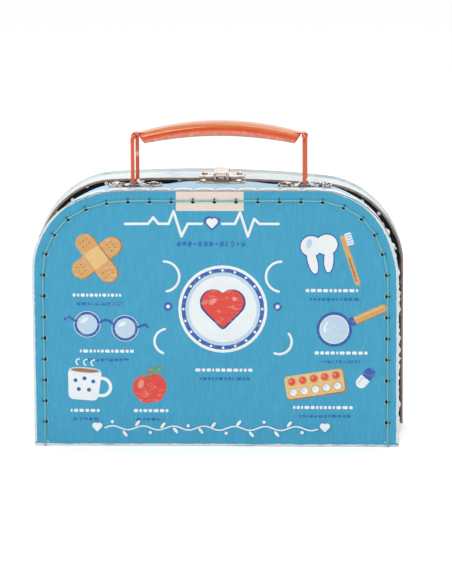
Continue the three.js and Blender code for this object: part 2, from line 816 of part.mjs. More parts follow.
function makeClaspLidPlate() {
  const bottom = lidRise + seatGap;
  const half = claspPlateHalfWidth - claspCornerRadius / 2;
  let plate = solid(
    flat(roundedRectangle(-half, 0, half, claspLidFrontDepth, claspCornerRadius), bottom, plateThickness),
  );
  const tongue = roundedRectangle(
    -claspTongueHalfWidth, 0, claspTongueHalfWidth, claspTongueDepth, claspCornerRadius,
  );
  plate = plate.add(solid(flat(tongue, bottom, plateThickness)));
  for (const side of [-1, 1]) {
    const x = side * (claspRivetSpacing / 2);
    plate = plate.add(
      uprightRod(claspLobeRadius, bottom, bottom + plateThickness, x, claspLidRivetSetback),
    );
    const neck = claspLidRivetSetback - claspLidFrontDepth / 2;
    plate = plate.add(
      box(
        claspLobeRadius,
        neck,
        plateThickness,
        x,
        claspLidRivetSetback - neck / 2,
        bottom + plateThickness / 2,
      ),
    );
    plate = plate.subtract(
      uprightRod(
        shankRadius + shankClearance,
        bottom - cutOverrun,
        bottom + plateThickness + cutOverrun,
        x,
        claspLidRivetSetback,
      ),
    );
    // Tabs that turn down over the raw edge of the lid wall
    const tabTop = bottom + plateThickness;
    const tabHeight = tabTop - noseTabFootGap;
    plate = plate.add(
      box(
        noseTabWidth,
        plateThickness,
        tabHeight,
        side * (noseTabSpacing / 2),
        -seatGap - plateThickness / 2,
        noseTabFootGap + tabHeight / 2,
      ),
    );
    plate = plate.add(
      box(
        noseTabWidth,
        plateThickness + seatGap + claspCornerRadius,
        plateThickness,
        side * (noseTabSpacing / 2),
        (claspCornerRadius - plateThickness - seatGap) / 2,
        bottom + plateThickness / 2,
      ),
    );
    // Ears that carry the hasp's pin
    const ear = new THREE.Shape();
    ear.moveTo(pinSetback - earHalfWidth, bottom);
    ear.lineTo(pinSetback + earHalfWidth, bottom);
    ear.lineTo(pinSetback + earHalfWidth, pinZ);
    ear.absarc(pinSetback, pinZ, earHalfWidth, 0, Math.PI, false);
    const earX = side * (knuckleHalfWidth + earSideGap + plateThickness / 2);
    const hole = new THREE.CylinderGeometry(
      pinRadius + pinClearance, pinRadius + pinClearance, plateThickness + 2 * cutOverrun, wireSides,
    );
    plate = plate
      .add(solid(across(ear, plateThickness, earX)))
      .subtract(solid(hole.rotateZ(Math.PI / 2).translate(earX, pinSetback, pinZ)));
  }
  return plate;
}

function makeClaspPin() {
  const half = knuckleHalfWidth + earSideGap + plateThickness + seatGap;
  const profile = [
    new THREE.Vector2(0, -half - pinHeadThickness),
    new THREE.Vector2(pinHeadRadius, -half - pinHeadThickness),
    new THREE.Vector2(pinHeadRadius, -half),
    new THREE.Vector2(pinRadius, -half),
    new THREE.Vector2(pinRadius, half),
    new THREE.Vector2(pinHeadRadius, half),
    new THREE.Vector2(pinHeadRadius, half + pinHeadThickness),
    new THREE.Vector2(0, half + pinHeadThickness),
  ];
  return solid(new THREE.LatheGeometry(profile, wireSides).rotateZ(Math.PI / 2));
}

// Hasp: curled round its pin, straight forward, then down in front of the hook, with a window.
// Its pin is at its origin.
function makeHasp() {
  const curl = pinRadius + pinClearance + plateThickness / 2;
  const front = -pinSetback - haspReach;
  const frontTop = haspFrontTop - plateThickness / 2 - pinZ;
  const foot = haspFoot - pinZ;
  const line = new THREE.Path();
  line.absarc(0, 0, curl, -Math.PI * 0.75, Math.PI / 2, false);
  line.lineTo(front + haspBendRadius, frontTop);
  line.absarc(front + haspBendRadius, frontTop - haspBendRadius, haspBendRadius, Math.PI / 2, Math.PI, false);
  line.lineTo(front, foot);
  const sheet = sheetShape(linePoints(line, bendSteps * 2), plateThickness);
  const narrow = solid(across(sheet, 2 * knuckleHalfWidth));
  const wide = solid(across(sheet, haspWidth)).intersect(
    box(
      haspWidth,
      haspCheekDepth * 2,
      2 * pinZ,
      0,
      front - plateThickness / 2 - cutOverrun + haspCheekDepth,
      0,
    ),
  );
  let hasp = narrow.add(wide);
  for (const side of [-1, 1])
    hasp = hasp.add(
      box(
        plateThickness,
        haspCheekDepth,
        haspCheekHeight,
        side * (haspWidth / 2 - plateThickness / 2),
        front + haspCheekDepth / 2,
        frontTop - haspCheekHeight / 2,
      ),
    );
  const windowHeight = haspWindowTop - haspWindowBottom;
  return hasp.subtract(
    box(
      2 * haspWindowHalfWidth,
      2 * haspBendRadius,
      windowHeight,
      0,
      front - haspBendRadius + plateThickness,
      haspWindowBottom + windowHeight / 2 - pinZ,
    ),
  );
}

// Assembly
const toyCase = new THREE.Group();

const baseTray = new THREE.Group();
toyCase.add(baseTray);
baseTray.add(
  piece("base_board", makeBaseBoard(), materials.printedBoard),
  piece("base_wall", makeBaseWall(), materials.lightBoard),
  piece("base_stitching", stitching(basePanelOutline, basePanelFront, -1), materials.thread),
);

const sideNames = new Map([[-1, "left"], [1, "right"]]);
for (const [side, sideName] of sideNames) {
  const seat = groupAt(metalOffset + side * (linkSpacing / 2), handleY, baseWallTop + seatGap);
  seat.add(piece("handle_bracket_" + sideName, makeBracket(), materials.nickel));
  baseTray.add(seat);
}
const bracketRivetNames = ["left_outer", "left_inner", "right_inner", "right_outer"];
bracketRivetPlaces().forEach((place, i) => {
  const name = "bracket_rivet_" + bracketRivetNames[i];
  addRivet(baseTray, name, place, baseOutline, bracketRivetRadius, bracketRivetHeight);
});

const claspBase = groupAt(metalOffset, lidEdgeY, baseWallTop);
claspBase.add(piece("clasp_base_plate", makeClaspBasePlate(), materials.nickel));
baseTray.add(claspBase);
claspRivetPlaces(-claspBaseRivetSetback).forEach((place, i) => {
  const name = "clasp_base_rivet_" + [...sideNames.values()][i];
  addRivet(baseTray, name, place, baseOutline, claspRivetRadius, claspRivetHeight);
});

const lid = new THREE.Group();
toyCase.add(lid);
lid.add(
  piece("lid_panel", makeLidPanel(), materials.whiteBoard),
  piece("lid_wall", makeLidWall(), materials.whiteBoard),
  piece("lid_stitching", stitching(lidPanelOutline, caseDepth / 2, 1), materials.thread),
);
const claspLid = groupAt(metalOffset, lidEdgeY, baseWallTop);
claspLid.add(piece("clasp_lid_plate", makeClaspLidPlate(), materials.nickel));
const pin = piece("clasp_pin", makeClaspPin(), materials.nickel);
pin.position.set(0, pinSetback, pinZ);
const hasp = piece("clasp_hasp", makeHasp(), materials.nickel);
hasp.position.copy(pin.position);
claspLid.add(pin, hasp);
lid.add(claspLid);
claspRivetPlaces(claspLidRivetSetback).forEach((place, i) => {
  const name = "clasp_lid_rivet_" + [...sideNames.values()][i];
  addRivet(lid, name, place, lidOutline, claspRivetRadius, claspRivetHeight);
});

const handle = groupAt(metalOffset, handleY, baseWallTop + linkPivotHeight);
toyCase.add(handle);
for (const [side, sideName] of sideNames) {
  const link = piece("handle_link_" + sideName, makeLink(), materials.paintedMetal);
  link.position.x = side * (linkSpacing / 2);
  handle.add(link);
}
const grip = piece("handle_grip", makeGrip(), materials.paintedMetal);
grip.position.z = linkLength;
handle.add(grip);

export default toyCase;
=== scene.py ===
"""A toy doctor case of stitched board, closed and standing on its spine.

Everything is in metres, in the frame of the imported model: +X runs along the spine, +Y from the tray's printed
panel to the lid, and +Z up to the handle. Sizes are written in millimetres, times MM.
"""

import math
import random

import bmesh
import bpy
from mathutils import Matrix, Vector, noise


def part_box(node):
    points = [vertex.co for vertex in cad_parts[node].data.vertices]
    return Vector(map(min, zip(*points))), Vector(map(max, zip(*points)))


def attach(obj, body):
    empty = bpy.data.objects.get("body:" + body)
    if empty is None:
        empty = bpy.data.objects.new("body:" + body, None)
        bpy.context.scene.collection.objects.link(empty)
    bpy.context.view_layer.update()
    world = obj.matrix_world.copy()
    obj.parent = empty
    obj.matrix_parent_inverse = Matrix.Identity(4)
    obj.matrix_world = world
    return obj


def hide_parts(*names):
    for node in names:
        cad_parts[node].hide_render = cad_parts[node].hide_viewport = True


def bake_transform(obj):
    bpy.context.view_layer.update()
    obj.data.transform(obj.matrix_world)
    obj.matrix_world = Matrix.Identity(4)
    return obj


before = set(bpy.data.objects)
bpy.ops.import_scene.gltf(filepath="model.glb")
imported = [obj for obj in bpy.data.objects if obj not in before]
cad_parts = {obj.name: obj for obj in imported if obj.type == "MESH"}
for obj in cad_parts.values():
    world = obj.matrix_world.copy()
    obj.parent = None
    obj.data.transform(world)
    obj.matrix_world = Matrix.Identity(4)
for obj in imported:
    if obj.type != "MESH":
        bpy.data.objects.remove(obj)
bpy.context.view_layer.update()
MM = 0.001
X_AXIS, Y_AXIS, Z_AXIS = (1, 0, 0), (0, 1, 0), (0, 0, 1)
QUARTER = math.pi / 2
HAIR = 0.01 * MM  # closer than this is the same place

# Board
TRAY_CORNER = 63.6 * MM  # of the tray's panel
TRAY_SPREAD = 1.5 * MM  # of the tray to each side, with use
LID_WALL_CORNER = 60 * MM
WALL_BOARD, LID_WALL_BOARD = 1.6 * MM, 1.9 * MM
LID_RIM_SAG = 0.45 * MM
FLANGE = 14 * MM
WALL_FOLD = 3 * MM
SPINE_FOLD = 2.2 * MM
FOLD_TOP = 3.2 * MM  # the foot of the tray's panel, where its worn fold begins
HINGE_BEND = 2.4 * MM
HINGE_PAPER = 0.12 * MM
HINGE_FLAPS = 9 * MM, 6 * MM  # under the spine, and up the lid
PANEL_STEP = 0.85 * MM  # between the points of a panel's edge
WALL_STEP = 1.6 * MM
FRAY = 2.3 * MM  # of the paper along the tray's fold
EDGE_STEPS = [(0.12, 0.13), (0.16, 0.08), (0.2, 0.05)]  # inward and out, round a panel's edge, in mm
SEAM_BANDS = [1.5, 1.5, 1.3, 1.1, 0.9, 0.85, 0.85, 0.85, 0.85, 0.85, 0.9, 1.1, 1.4, 1.8, 2.4]  # mm, inward
TURN_IN = 2.4 * MM  # of the printed paper, behind the edge
BARE_EDGE_FOOT = 168 * MM  # above it the paper has come off the edge
LABEL_LEFT, LABEL_RIGHT, LABEL_FOOT = -30.1 * MM, 22.8 * MM, 189.2 * MM

# Seams
STITCHES = 35
SEAM_INSET = 8.3 * MM
SEAM_STEP_IN, SEAM_ROUNDER = 0.9 * MM, 1.4 * MM  # at the sides, and at the corners
FIRST_STITCH = 19.8 * MM
HOLE = 1.75 * MM
HOLE_DEPTH = 1.3 * MM
THREAD = 0.68 * MM
LOOP_THREAD = 0.42 * MM
PLY, LOOP_PLY = 2.6 * MM, 2 * MM  # the length of one turn of the plies
THREAD_STEPS = 44  # from hole to hole
TRAY_TAIL, LID_TAIL = 0.3 * MM, 3.2 * MM  # where the thread's ends hang to

# Handle
LINK_CORNER = 3 * MM
LINK_WIRE = 1.3 * MM
LINK_SWELL = 1.14  # of the painted wire
LINK_TWISTS = {"left": 1.3 * MM, "right": -0.3 * MM}
EYE_GAP = 0.3 * MM
GRIP_WIDTH = 15.5 * MM
GRIP_SHEET = 0.8 * MM
GRIP_HEM = 1.3 * MM
GRIP_SHOULDER = 4.6 * MM
GRIP_TILT = 0.1  # the top leans to the front by this slope
GRIP_PINCH = 0.07  # of its width, at the ends, clear of the wire's legs
GRIP_SETBACK = 3 * MM
GRIP_SLANT = 5 * MM
GRIP_END_TOP = 1.6 * MM
GRIP_MIDDLE_BOTTOM = 1.1 * MM
GRIP_END_DROP = 4.9 * MM
TONGUE_WIDTH = 10 * MM
TONGUE_ROOT = 7 * MM  # from the grip's end
HANDLE_Y = -12 * MM
CHIP_PLACE = (-62.6 * MM, -2.4 * MM, 228 * MM)  # worn through on the left link

# Colours, as they show in daylight
PANEL_BLUE = (60, 161, 198)
WALL_BLUE = (181, 219, 242)
PAPER_WHITE = (232, 240, 242)
STROKE_BLUE = (176, 212, 224)
LINING_NAVY = (20, 30, 40)
BOARD_BROWN = (172, 146, 128)
BOARD_DARK = (104, 84, 78)
LABEL_CREAM = (238, 221, 209)
THREAD_TEAL, THREAD_TEAL_SHADE = (138, 206, 208), (92, 162, 168)
LOOP_TEAL, LOOP_SHADE = (38, 92, 92), (26, 74, 76)
ENAMEL_RED = (222, 74, 6)
NICKEL = (230, 220, 210)
# the second colour of each pair is mixed into the plate in patches by noise
NICKEL_DULL, NICKEL_DARK_PATCH = (212, 196, 184), (92, 80, 76)
# near black painted shade inside the stitch holes
HOLE_SHADE = (16, 18, 20)

# The lining's dots, in mm
DOT_FILES, DOT_START = 14.81, 0.78
DOT_ROWS = (22.0, 0.5, 0.0)  # from dot to dot in a file, share by which each second file is shifted, start
WALL_DOT_ROWS = (14.0, -0.193, 0.786)


def linear(colour):
    """A colour of 0 to 255 steps as the shader's linear red, green, blue and alpha."""
    steps = [step / 255 for step in colour]
    return (*(step / 12.92 if step <= 0.04045 else ((step + 0.055) / 1.055) ** 2.4 for step in steps), 1.0)


# Shader nodes
class Field:
    """One output of a node. Reckoning with it adds nodes."""

    def __init__(self, nodes, socket):
        self.nodes, self.socket = nodes, socket

    def maths(self, operation, other=0.0):
        return self.nodes.maths(operation, self, other)

    def __add__(self, other):
        return self.maths("ADD", other)

    def __sub__(self, other):
        return self.maths("SUBTRACT", other)

    def __rsub__(self, other):
        return self.nodes.maths("SUBTRACT", other, self)

    def __mul__(self, other):
        return self.maths("MULTIPLY", other)

    def __truediv__(self, other):
        return self.maths("DIVIDE", other)

    def ramp(self, low, high, kind="SMOOTHSTEP"):
        """0 below low and 1 above high, with a soft step between, or a straight one."""
        span = {"Value": self, "From Min": low, "From Max": high}
        return self.nodes.add("ShaderNodeMapRange", "Result", span, interpolation_type=kind)

    def band(self, low, rise, fall, high):
        """1 from rise to fall, and 0 below low and above high."""
        return self.ramp(low, rise) * (1 - self.ramp(fall, high))


class Nodes:
    """The nodes of one material, node group or world."""

    def __init__(self, tree):
        self.tree = tree

    def put(self, value, socket):
        """Feeds a socket with a field, or sets it to a plain value."""
        if isinstance(value, Field):
            self.tree.links.new(value.socket, socket)
        else:
            socket.default_value = value

    def new(self, kind, inputs=None, **settings):
        node = self.tree.nodes.new(kind)
        for name, value in settings.items():
            setattr(node, name, value)
        for name, value in (inputs or {}).items():
            self.put(value, node.inputs[name])
        return node

    def add(self, kind, output, inputs=None, **settings):
        """One output of a new node."""
        return Field(self, self.new(kind, inputs, **settings).outputs[output])

    def fields(self, node):
        return [Field(self, socket) for socket in node.outputs]

    def maths(self, operation, first, second):
        return self.add("ShaderNodeMath", 0, {0: first, 1: second}, operation=operation)

    def mix(self, share, first, second):
        """A colour between two. Each is a field, or red, green and blue of 0 to 255."""
        first, second = (end if isinstance(end, Field) else linear(end) for end in (first, second))
        return self.add("ShaderNodeMix", 2, {0: share, 6: first, 7: second}, data_type="RGBA")

    def layered(self, colour, *layers):
        """A colour under layers of (mask, colour)."""
        for mask, laid in layers:
            colour = self.mix(mask, colour, laid)
        return colour

    def place(self, stretch=(1, 1, 1), turned=(0, 0, 0)):
        inputs = {"Vector": self.add("ShaderNodeTexCoord", "Object"), "Scale": stretch, "Rotation": turned}
        return self.add("ShaderNodeMapping", "Vector", inputs)

    def noise(self, scale, detail, roughness, vector=None, distortion=0.0):
        return self.add("ShaderNodeTexNoise", "Fac", {
            "Vector": vector or self.place(), "Scale": scale, "Detail": detail, "Roughness": roughness,
            "Distortion": distortion,
        })

    def split(self, vector):
        return self.fields(self.new("ShaderNodeSeparateXYZ", {"Vector": vector}))

    def map(self, name):
        """The two coordinates of a named map."""
        return self.split(self.add("ShaderNodeUVMap", "UV", uv_map=name))[:2]

    def length(self, x, y):
        vector = self.add("ShaderNodeCombineXYZ", 0, {"X": x, "Y": y})
        return self.add("ShaderNodeVectorMath", "Value", {0: vector}, operation="LENGTH")

    def bump(self, height, distance, strength):
        inputs = {"Height": height, "Distance": distance, "Strength": strength}
        return self.add("ShaderNodeBump", "Normal", inputs)

    def use(self, group, **inputs):
        """All outputs of a node group."""
        named = {name.replace("_", " "): value for name, value in inputs.items()}
        return self.fields(self.new("ShaderNodeGroup", named, node_tree=group))


def new_group(name, outputs, **inputs):
    """An empty node group with named outputs of a kind and inputs of a (kind, value). Gives its nodes, a
    field for each input and the sockets of the outputs."""
    tree = bpy.data.node_groups.new(name, "ShaderNodeTree")
    for label, (kind, value) in inputs.items():
        socket = tree.interface.new_socket(
            label.replace("_", " "), in_out="INPUT", socket_type="NodeSocket" + kind
        )
        socket.default_value = value
    for label, kind in outputs.items():
        tree.interface.new_socket(label, in_out="OUTPUT", socket_type="NodeSocket" + kind)
    nodes = Nodes(tree)
    return nodes, nodes.fields(nodes.new("NodeGroupInput"))[:len(inputs)], nodes.new("NodeGroupOutput").inputs


# Effects that several finishes share
def make_paper_grain():
    """Fibres and soft clouds of tone in printed paper."""
    nodes, (colour, cloudy, fibrous), out = new_group(
        "paper grain", {"Color": "Color", "Height": "Float"},
        Color=("Color", (0.5, 0.5, 0.5, 1)), Clouds=("Float", 0.08), Fibres=("Float", 0.05),
    )
    clouds, fine = nodes.noise(22, 4, 0.6), nodes.noise(2600, 2, 0.5)
    fibres = nodes.noise(900, 3, 0.65, nodes.place((1, 1, 0.35)))
    tone = (fibres - 0.5) * fibrous + ((clouds - 0.5) * cloudy + 1)
    nodes.put(nodes.add("ShaderNodeHueSaturation", "Color", {"Color": colour, "Value": tone}), out["Color"])
    nodes.put(fibres + fine * 0.5, out["Height"])
    return nodes.tree


def make_ragged_mask():
    """A mask over a threshold whose edge is torn by noise."""
    nodes, (value, start, end, tear, scale), out = new_group(
        "ragged mask", {"Mask": "Float"}, Value=("Float", 0.0), Start=("Float", 0.0), End=("Float", 1.0),
        Tear=("Float", 0.5), Tear_Scale=("Float", 600.0),
    )
    torn = (nodes.noise(scale, 4, 0.65) - 0.5) * tear + value
    nodes.put(torn.ramp(start, end, "LINEAR"), out["Mask"])
    return nodes.tree


def make_brush_strokes():
    """Loose strokes of a wet brush, for printed paper."""
    nodes, (vector, cover), out = new_group(
        "brush strokes", {"Mask": "Float"}, Vector=("Vector", (0, 0, 0)), Cover=("Float", 0.5)
    )
    hairs = nodes.noise(5.0, 4, 0.7, vector, 0.2)
    both = (hairs - 0.5) * 0.35 + nodes.noise(1.0, 3, 0.55, vector, 0.6)
    bare = 1 - cover
    nodes.put(both.ramp(bare, bare + 0.09), out["Mask"])
    return nodes.tree


paper_grain = make_paper_grain()
ragged_mask = make_ragged_mask()
brush_strokes = make_brush_strokes()


class Finish(Nodes):
    """A material round one Principled shader."""

    def __init__(self, name, roughness, metallic=0.0, **values):
        self.material = bpy.data.materials.new(name)
        self.material.use_nodes = True
        super().__init__(self.material.node_tree)
        self.set(Roughness=roughness, Metallic=metallic, **values)

    def set(self, **values):
        """Feeds or sets the shader's inputs and gives the material."""
        shader = self.tree.nodes["Principled BSDF"].inputs
        for name, value in values.items():
            self.put(value, shader[name.replace("_", " ")])
        return self.material

    def grained(self, colour, clouds, fibres):
        """A colour with paper grain in it, whose fibres stand up a little."""
        colour, height = self.use(paper_grain, Color=colour, Clouds=clouds, Fibres=fibres)
        self.set(Normal=self.bump(height, 0.03 * MM, 0.6))
        return colour

    def ragged(self, value, start, end, tear, scale):
        return self.use(ragged_mask, Value=value, Start=start, End=end, Tear=tear, Tear_Scale=scale)[0]

    def brushed(self, cover, *stretch_and_turn):
        return self.use(brush_strokes, Vector=self.place(*stretch_and_turn), Cover=cover)[0]


def make_panel_print(pitch):
    """Blue gouache print on the tray's panel, with the cream label patch at the top. The paper is rubbed off
    along the edge, and on the inner side of each stitch hole it is whitened, partly as torn-up fibres and
    partly as a painted highlight on the raised lip."""
    paper = Finish("blue printed paper", 0.62)
    turns, outward = paper.map("seam")
    x, _, z = paper.split(paper.place())
    left, right, above = (
        field.ramp(line - 0.1 * MM, line + 0.1 * MM)
        for field, line in ((x, LABEL_LEFT), (x, LABEL_RIGHT), (z, LABEL_FOOT))
    )
    streaks = paper.noise(1, 3, 0.6, paper.place((900, 900, 130))).ramp(0.35, 0.75)
    colour = paper.layered(PANEL_BLUE, (streaks, (72, 170, 206)), ((left - right) * above, LABEL_CREAM))
    beside = 1 - z.ramp(0.176, 0.198)
    inset = SEAM_INSET / MM
    worn = paper.ragged(beside * 0.8 + outward, inset - 0.35, inset, 1.6, 280.0)
    across = ((turns + 0.5).maths("FRACT") - 0.5) * (pitch / MM)
    ring = 1 - paper.length(across, outward).ramp(1.85, 2.4)
    # whitened ring on the inner side of each hole: torn-up fibres, and a painted highlight on the raised lip
    lip_fibres_and_highlight = ring * (1 - outward.ramp(-1.2, -0.2)) * 0.6
    return paper.set(Base_Color=paper.layered(
        paper.grained(colour, 0.1, 0.08), (worn, (222, 230, 232)), (lip_fibres_and_highlight, (226, 232, 230))
    ))


def make_raw_board():
    """The grey-brown core of the board, in pressed layers."""
    board = Finish("raw board", 0.85)
    layers = board.noise(1, 4, 0.7, board.place((300, 2600, 300)))
    specks = board.noise(1700, 3, 0.6)
    return board.set(
        Base_Color=board.layered(
            BOARD_BROWN, (layers.ramp(0.3, 0.7), (138, 114, 98)), (specks.ramp(0.56, 0.75), BOARD_DARK)
        ),
        Normal=board.bump(layers + specks, 0.08 * MM, 0.8),
    )


def make_wall_paper():
    """Light blue paper with a row of white scallops along each edge, one between each two stitches, each with
    a teal line of painted shade along its side towards the fold. The map runs round the case in stitches and
    across it in millimetres from the fold."""
    paper = Finish("light blue paper", 0.6)
    turns, across = paper.map("seam")
    swing = (turns.maths("FRACT") - 0.5) * 2.3
    hump = 1 - swing * swing
    wobble = (paper.noise(180, 3, 0.6) - 0.5) * 3.0
    above = across - hump * 4.0 + wobble
    stroke = above.band(9.5, 11.5, 17.0, 19.0) * hump.ramp(0.05, 0.2)
    # painted shade: a teal line along the fold side of each scallop
    line = above.band(6.0, 7.0, 10.0, 11.5) * hump.ramp(0.15, 0.45)
    border = 1 - (across + wobble).ramp(6.5, 10.0)
    corner = paper.split(paper.place())[0].maths("ABSOLUTE").ramp(0.07, 0.1)
    colour = paper.layered(
        WALL_BLUE,
        (paper.brushed(0.52, (26, 26, 26)) * 0.5, (190, 214, 232)),
        (border * 0.85, (226, 236, 240)),
        (paper.ragged(corner * -7.0 + across, 6.4, 5.4, 9.0, 190.0), (244, 247, 247)),
        # the teal painted shade beside the scallops
        (line * 0.9, (92, 170, 188)),
        (stroke, (250, 252, 252)),
    )
    return paper.set(Base_Color=paper.grained(colour, 0.08, 0.06))


def make_lid_paper():
    """White paper with pale blue strokes."""
    paper = Finish("white brushed paper", 0.6)
    colour = paper.layered(
        PAPER_WHITE,
        (paper.brushed(0.45, (45, 150, 130)) * 0.5, STROKE_BLUE),
        (paper.brushed(0.36, (70, 420, 330)) * 0.65, (140, 196, 204)),
    )
    return paper.set(Base_Color=paper.grained(colour, 0.05, 0.05))


def make_lining(name, pitch=None):
    """Navy paper with small white dots in staggered rows, flat on a board, or round a wall whose map has the
    given pitch of stitches. It glows a little in its own colour: painted light that keeps the navy and the
    dots bright in the shaded gaps."""
    # The emission makes the whole lining glow in its own colour: painted light for its shaded gaps.
    paper = Finish(name, 0.55, Emission_Strength=0.6)
    if pitch:
        turns, up = paper.map("seam")
        along = turns * (pitch / MM)
    else:
        x, y, z = paper.split(paper.place())
        along, up = x / MM, (y + z) / MM
    step, shift, start = WALL_DOT_ROWS if pitch else DOT_ROWS
    files = along / DOT_FILES + DOT_START
    second = (files.maths("FLOOR") * 0.5).maths("FRACT")
    rows = second * (2 * shift) + start + up / step
    beside, below = (
        (count.maths("FRACT") - 0.5) * size for count, size in ((files, DOT_FILES), (rows, step))
    )
    dot = 1 - paper.length(beside, below).ramp(1.25, 1.5)
    colour = paper.grained(paper.mix(dot, LINING_NAVY, (228, 230, 226)), 0.2, 0.2)
    return paper.set(Base_Color=colour, Emission_Color=colour)


def make_fold_paper():
    """Blue paper over the bottom fold, cracked white where it bends."""
    paper = Finish("cracked fold", 0.65)
    low = paper.split(paper.place())[2] * (-1 / MM)
    cracks = paper.noise(1, 4, 0.7, paper.place((60, 700, 700)))
    left_blue = 1 - cracks.ramp(0.38, 0.44)
    bare = paper.ragged(low, -2.3, -1.9, 1.8, 150.0) * (1 - left_blue * 0.8)
    colour = paper.mix(bare, PANEL_BLUE, (240, 243, 243))
    colour, height = paper.use(paper_grain, Color=colour, Clouds=0.12, Fibres=0.1)
    return paper.set(Base_Color=colour, Normal=paper.bump(height + cracks, 0.06 * MM, 0.8))


# The wall and floor of each stitch hole are painted near black: painted shade for the dark of the hole.
def make_hole_shade():
    board = Finish("hole painted black as shade", 0.95)
    return board.set(Base_Color=board.mix(board.noise(1500, 2, 0.5), HOLE_SHADE, (46, 44, 42)))


def make_thread(name, light, dark):
    """Waxed two-ply thread. The map runs along it in millimetres and round it in turns."""
    ply = Finish(name, 0.55)
    twist = (ply.map("ply")[1] * (4 * math.pi)).maths("SINE")
    fuzz = ply.noise(2400, 3, 0.6)
    return ply.set(
        Base_Color=ply.mix((twist + fuzz).ramp(-0.8, 1.2), dark, light), Normal=ply.bump(fuzz, 0.08 * MM, 0.8)
    )


def make_enamel():
    """Orange-red enamel on sheet metal and wire, with a painted sheen over the top, a painted pink reflection
    with lighter specks along the rolled hem, and a little chipped.
    """
    paint = Finish(
        "orange-red enamel", 0.3, Coat_Weight=0.9, Coat_Roughness=0.14, Coat_IOR=1.75, Specular_IOR_Level=0.2
    )
    clouds, uneven = paint.noise(60, 3, 0.6), paint.noise(420, 3, 0.6)
    top_sheen, rolled = (
        paint.add("ShaderNodeAttribute", "Fac", attribute_name=name) for name in ("top_sheen", "rolled")
    )
    chips = paint.noise(260, 2, 0.5).ramp(0.77, 0.79)
    spot = paint.add("ShaderNodeVectorMath", "Value", {0: paint.place(), 1: CHIP_PLACE}, operation="DISTANCE")
    rubbed = paint.ragged(spot, 2.6 * MM, 2.2 * MM, 2 * MM, 900.0)
    return paint.set(
        Base_Color=paint.layered(
            ENAMEL_RED,
            (clouds.ramp(0.3, 0.7), (230, 86, 14)),
            # painted sheen: the top of the grip's section is lighter and yellower, as where it catches the
            # light
            (top_sheen, (208, 116, 56)),
            # painted reflection: pink along the rolled hem, with lighter specks in it
            (rolled * uneven.ramp(0.2, 0.5), (224, 130, 102)),
            (rolled * uneven.ramp(0.58, 0.72), (242, 184, 164)),
            (chips.maths("MAXIMUM", rubbed), (226, 200, 156)),
        ),
        Roughness=clouds * 0.2 + 0.16,
        Normal=paint.bump(paint.noise(700, 2, 0.5), 0.02 * MM, 0.5),
    )


def make_nickel(name, dull):
    """Bright nickel plate over pressed steel, with fine scratches and patches of the dull colour."""
    plate = Finish(name, 0.2, 1.0)
    patches = plate.noise(300, 3, 0.6)
    scratches = plate.noise(1, 3, 0.6, plate.place((500, 5000, 3000), (0, 0, 0.6)))
    return plate.set(
        Base_Color=plate.mix(patches.ramp(0.46, 0.6), NICKEL, dull),
        Roughness=scratches * 0.08 + (patches * 0.18 + 0.1),
        Normal=plate.bump(scratches, 0.01 * MM, 0.4),
    )


def make_ink():
    """Opaque gouache, one colour to a shape, with a little of the brush in it."""
    paint = Finish("gouache print", 0.6)
    ink = paint.add("ShaderNodeAttribute", "Color", attribute_name="ink")
    strokes = paint.brushed(0.45, (160, 160, 420), (0, 0.5, 0))
    return paint.set(Base_Color=paint.grained(paint.mix(strokes * 0.16, ink, (250, 246, 236)), 0.3, 0.08))


# Mesh steps
def whole(bm):
    return bm.verts[:] + bm.edges[:]


def walk(bm, geometry, way, steps):
    """Extrudes geometry in a straight line and gives its last copy."""
    return bmesh.ops.spin(
        bm, geom=geometry, cent=(0, 0, 0), axis=Y_AXIS, dvec=Vector(way) / steps, angle=0, steps=steps
    )["geom_last"]


def turn(bm, geometry, centre, axis, angle, steps):
    """Extrudes geometry round an axis and gives its last copy."""
    return bmesh.ops.spin(bm, geom=geometry, cent=centre, axis=axis, angle=angle, steps=steps)["geom_last"]


def trace(bm, geometry, *legs):
    """Extrudes geometry, or a point at a place, along legs: (way, steps), or (centre, axis, angle, steps)."""
    if isinstance(geometry, tuple):
        geometry = [bm.verts.new(geometry)]
    for leg in legs:
        geometry = (walk if len(leg) == 2 else turn)(bm, geometry, *leg)
    return geometry


def weld(bm, reach=HAIR):
    bmesh.ops.remove_doubles(bm, verts=bm.verts[:], dist=reach)


def face_out(bm):
    bmesh.ops.recalc_face_normals(bm, faces=bm.faces[:])


def face_away(bm, inside):
    """Turns the faces of an open sheet so that they look away from a point."""
    if sum(face.normal.dot(face.calc_center_median() - inside) for face in bm.faces) < 0:
        bmesh.ops.reverse_faces(bm, faces=bm.faces[:])


def only(items, kind):
    return [item for item in items if isinstance(item, kind)]


def flat(place):
    return Vector((place.x, place.z))


def clamp(value, low=0.0, high=1.0):
    return min(max(value, low), high)


def soft_step(value, low, high):
    share = clamp((value - low) / (high - low))
    return share * share * (3 - 2 * share)


def bell(value, middle, width):
    return math.exp(-((value - middle) / width) ** 2)


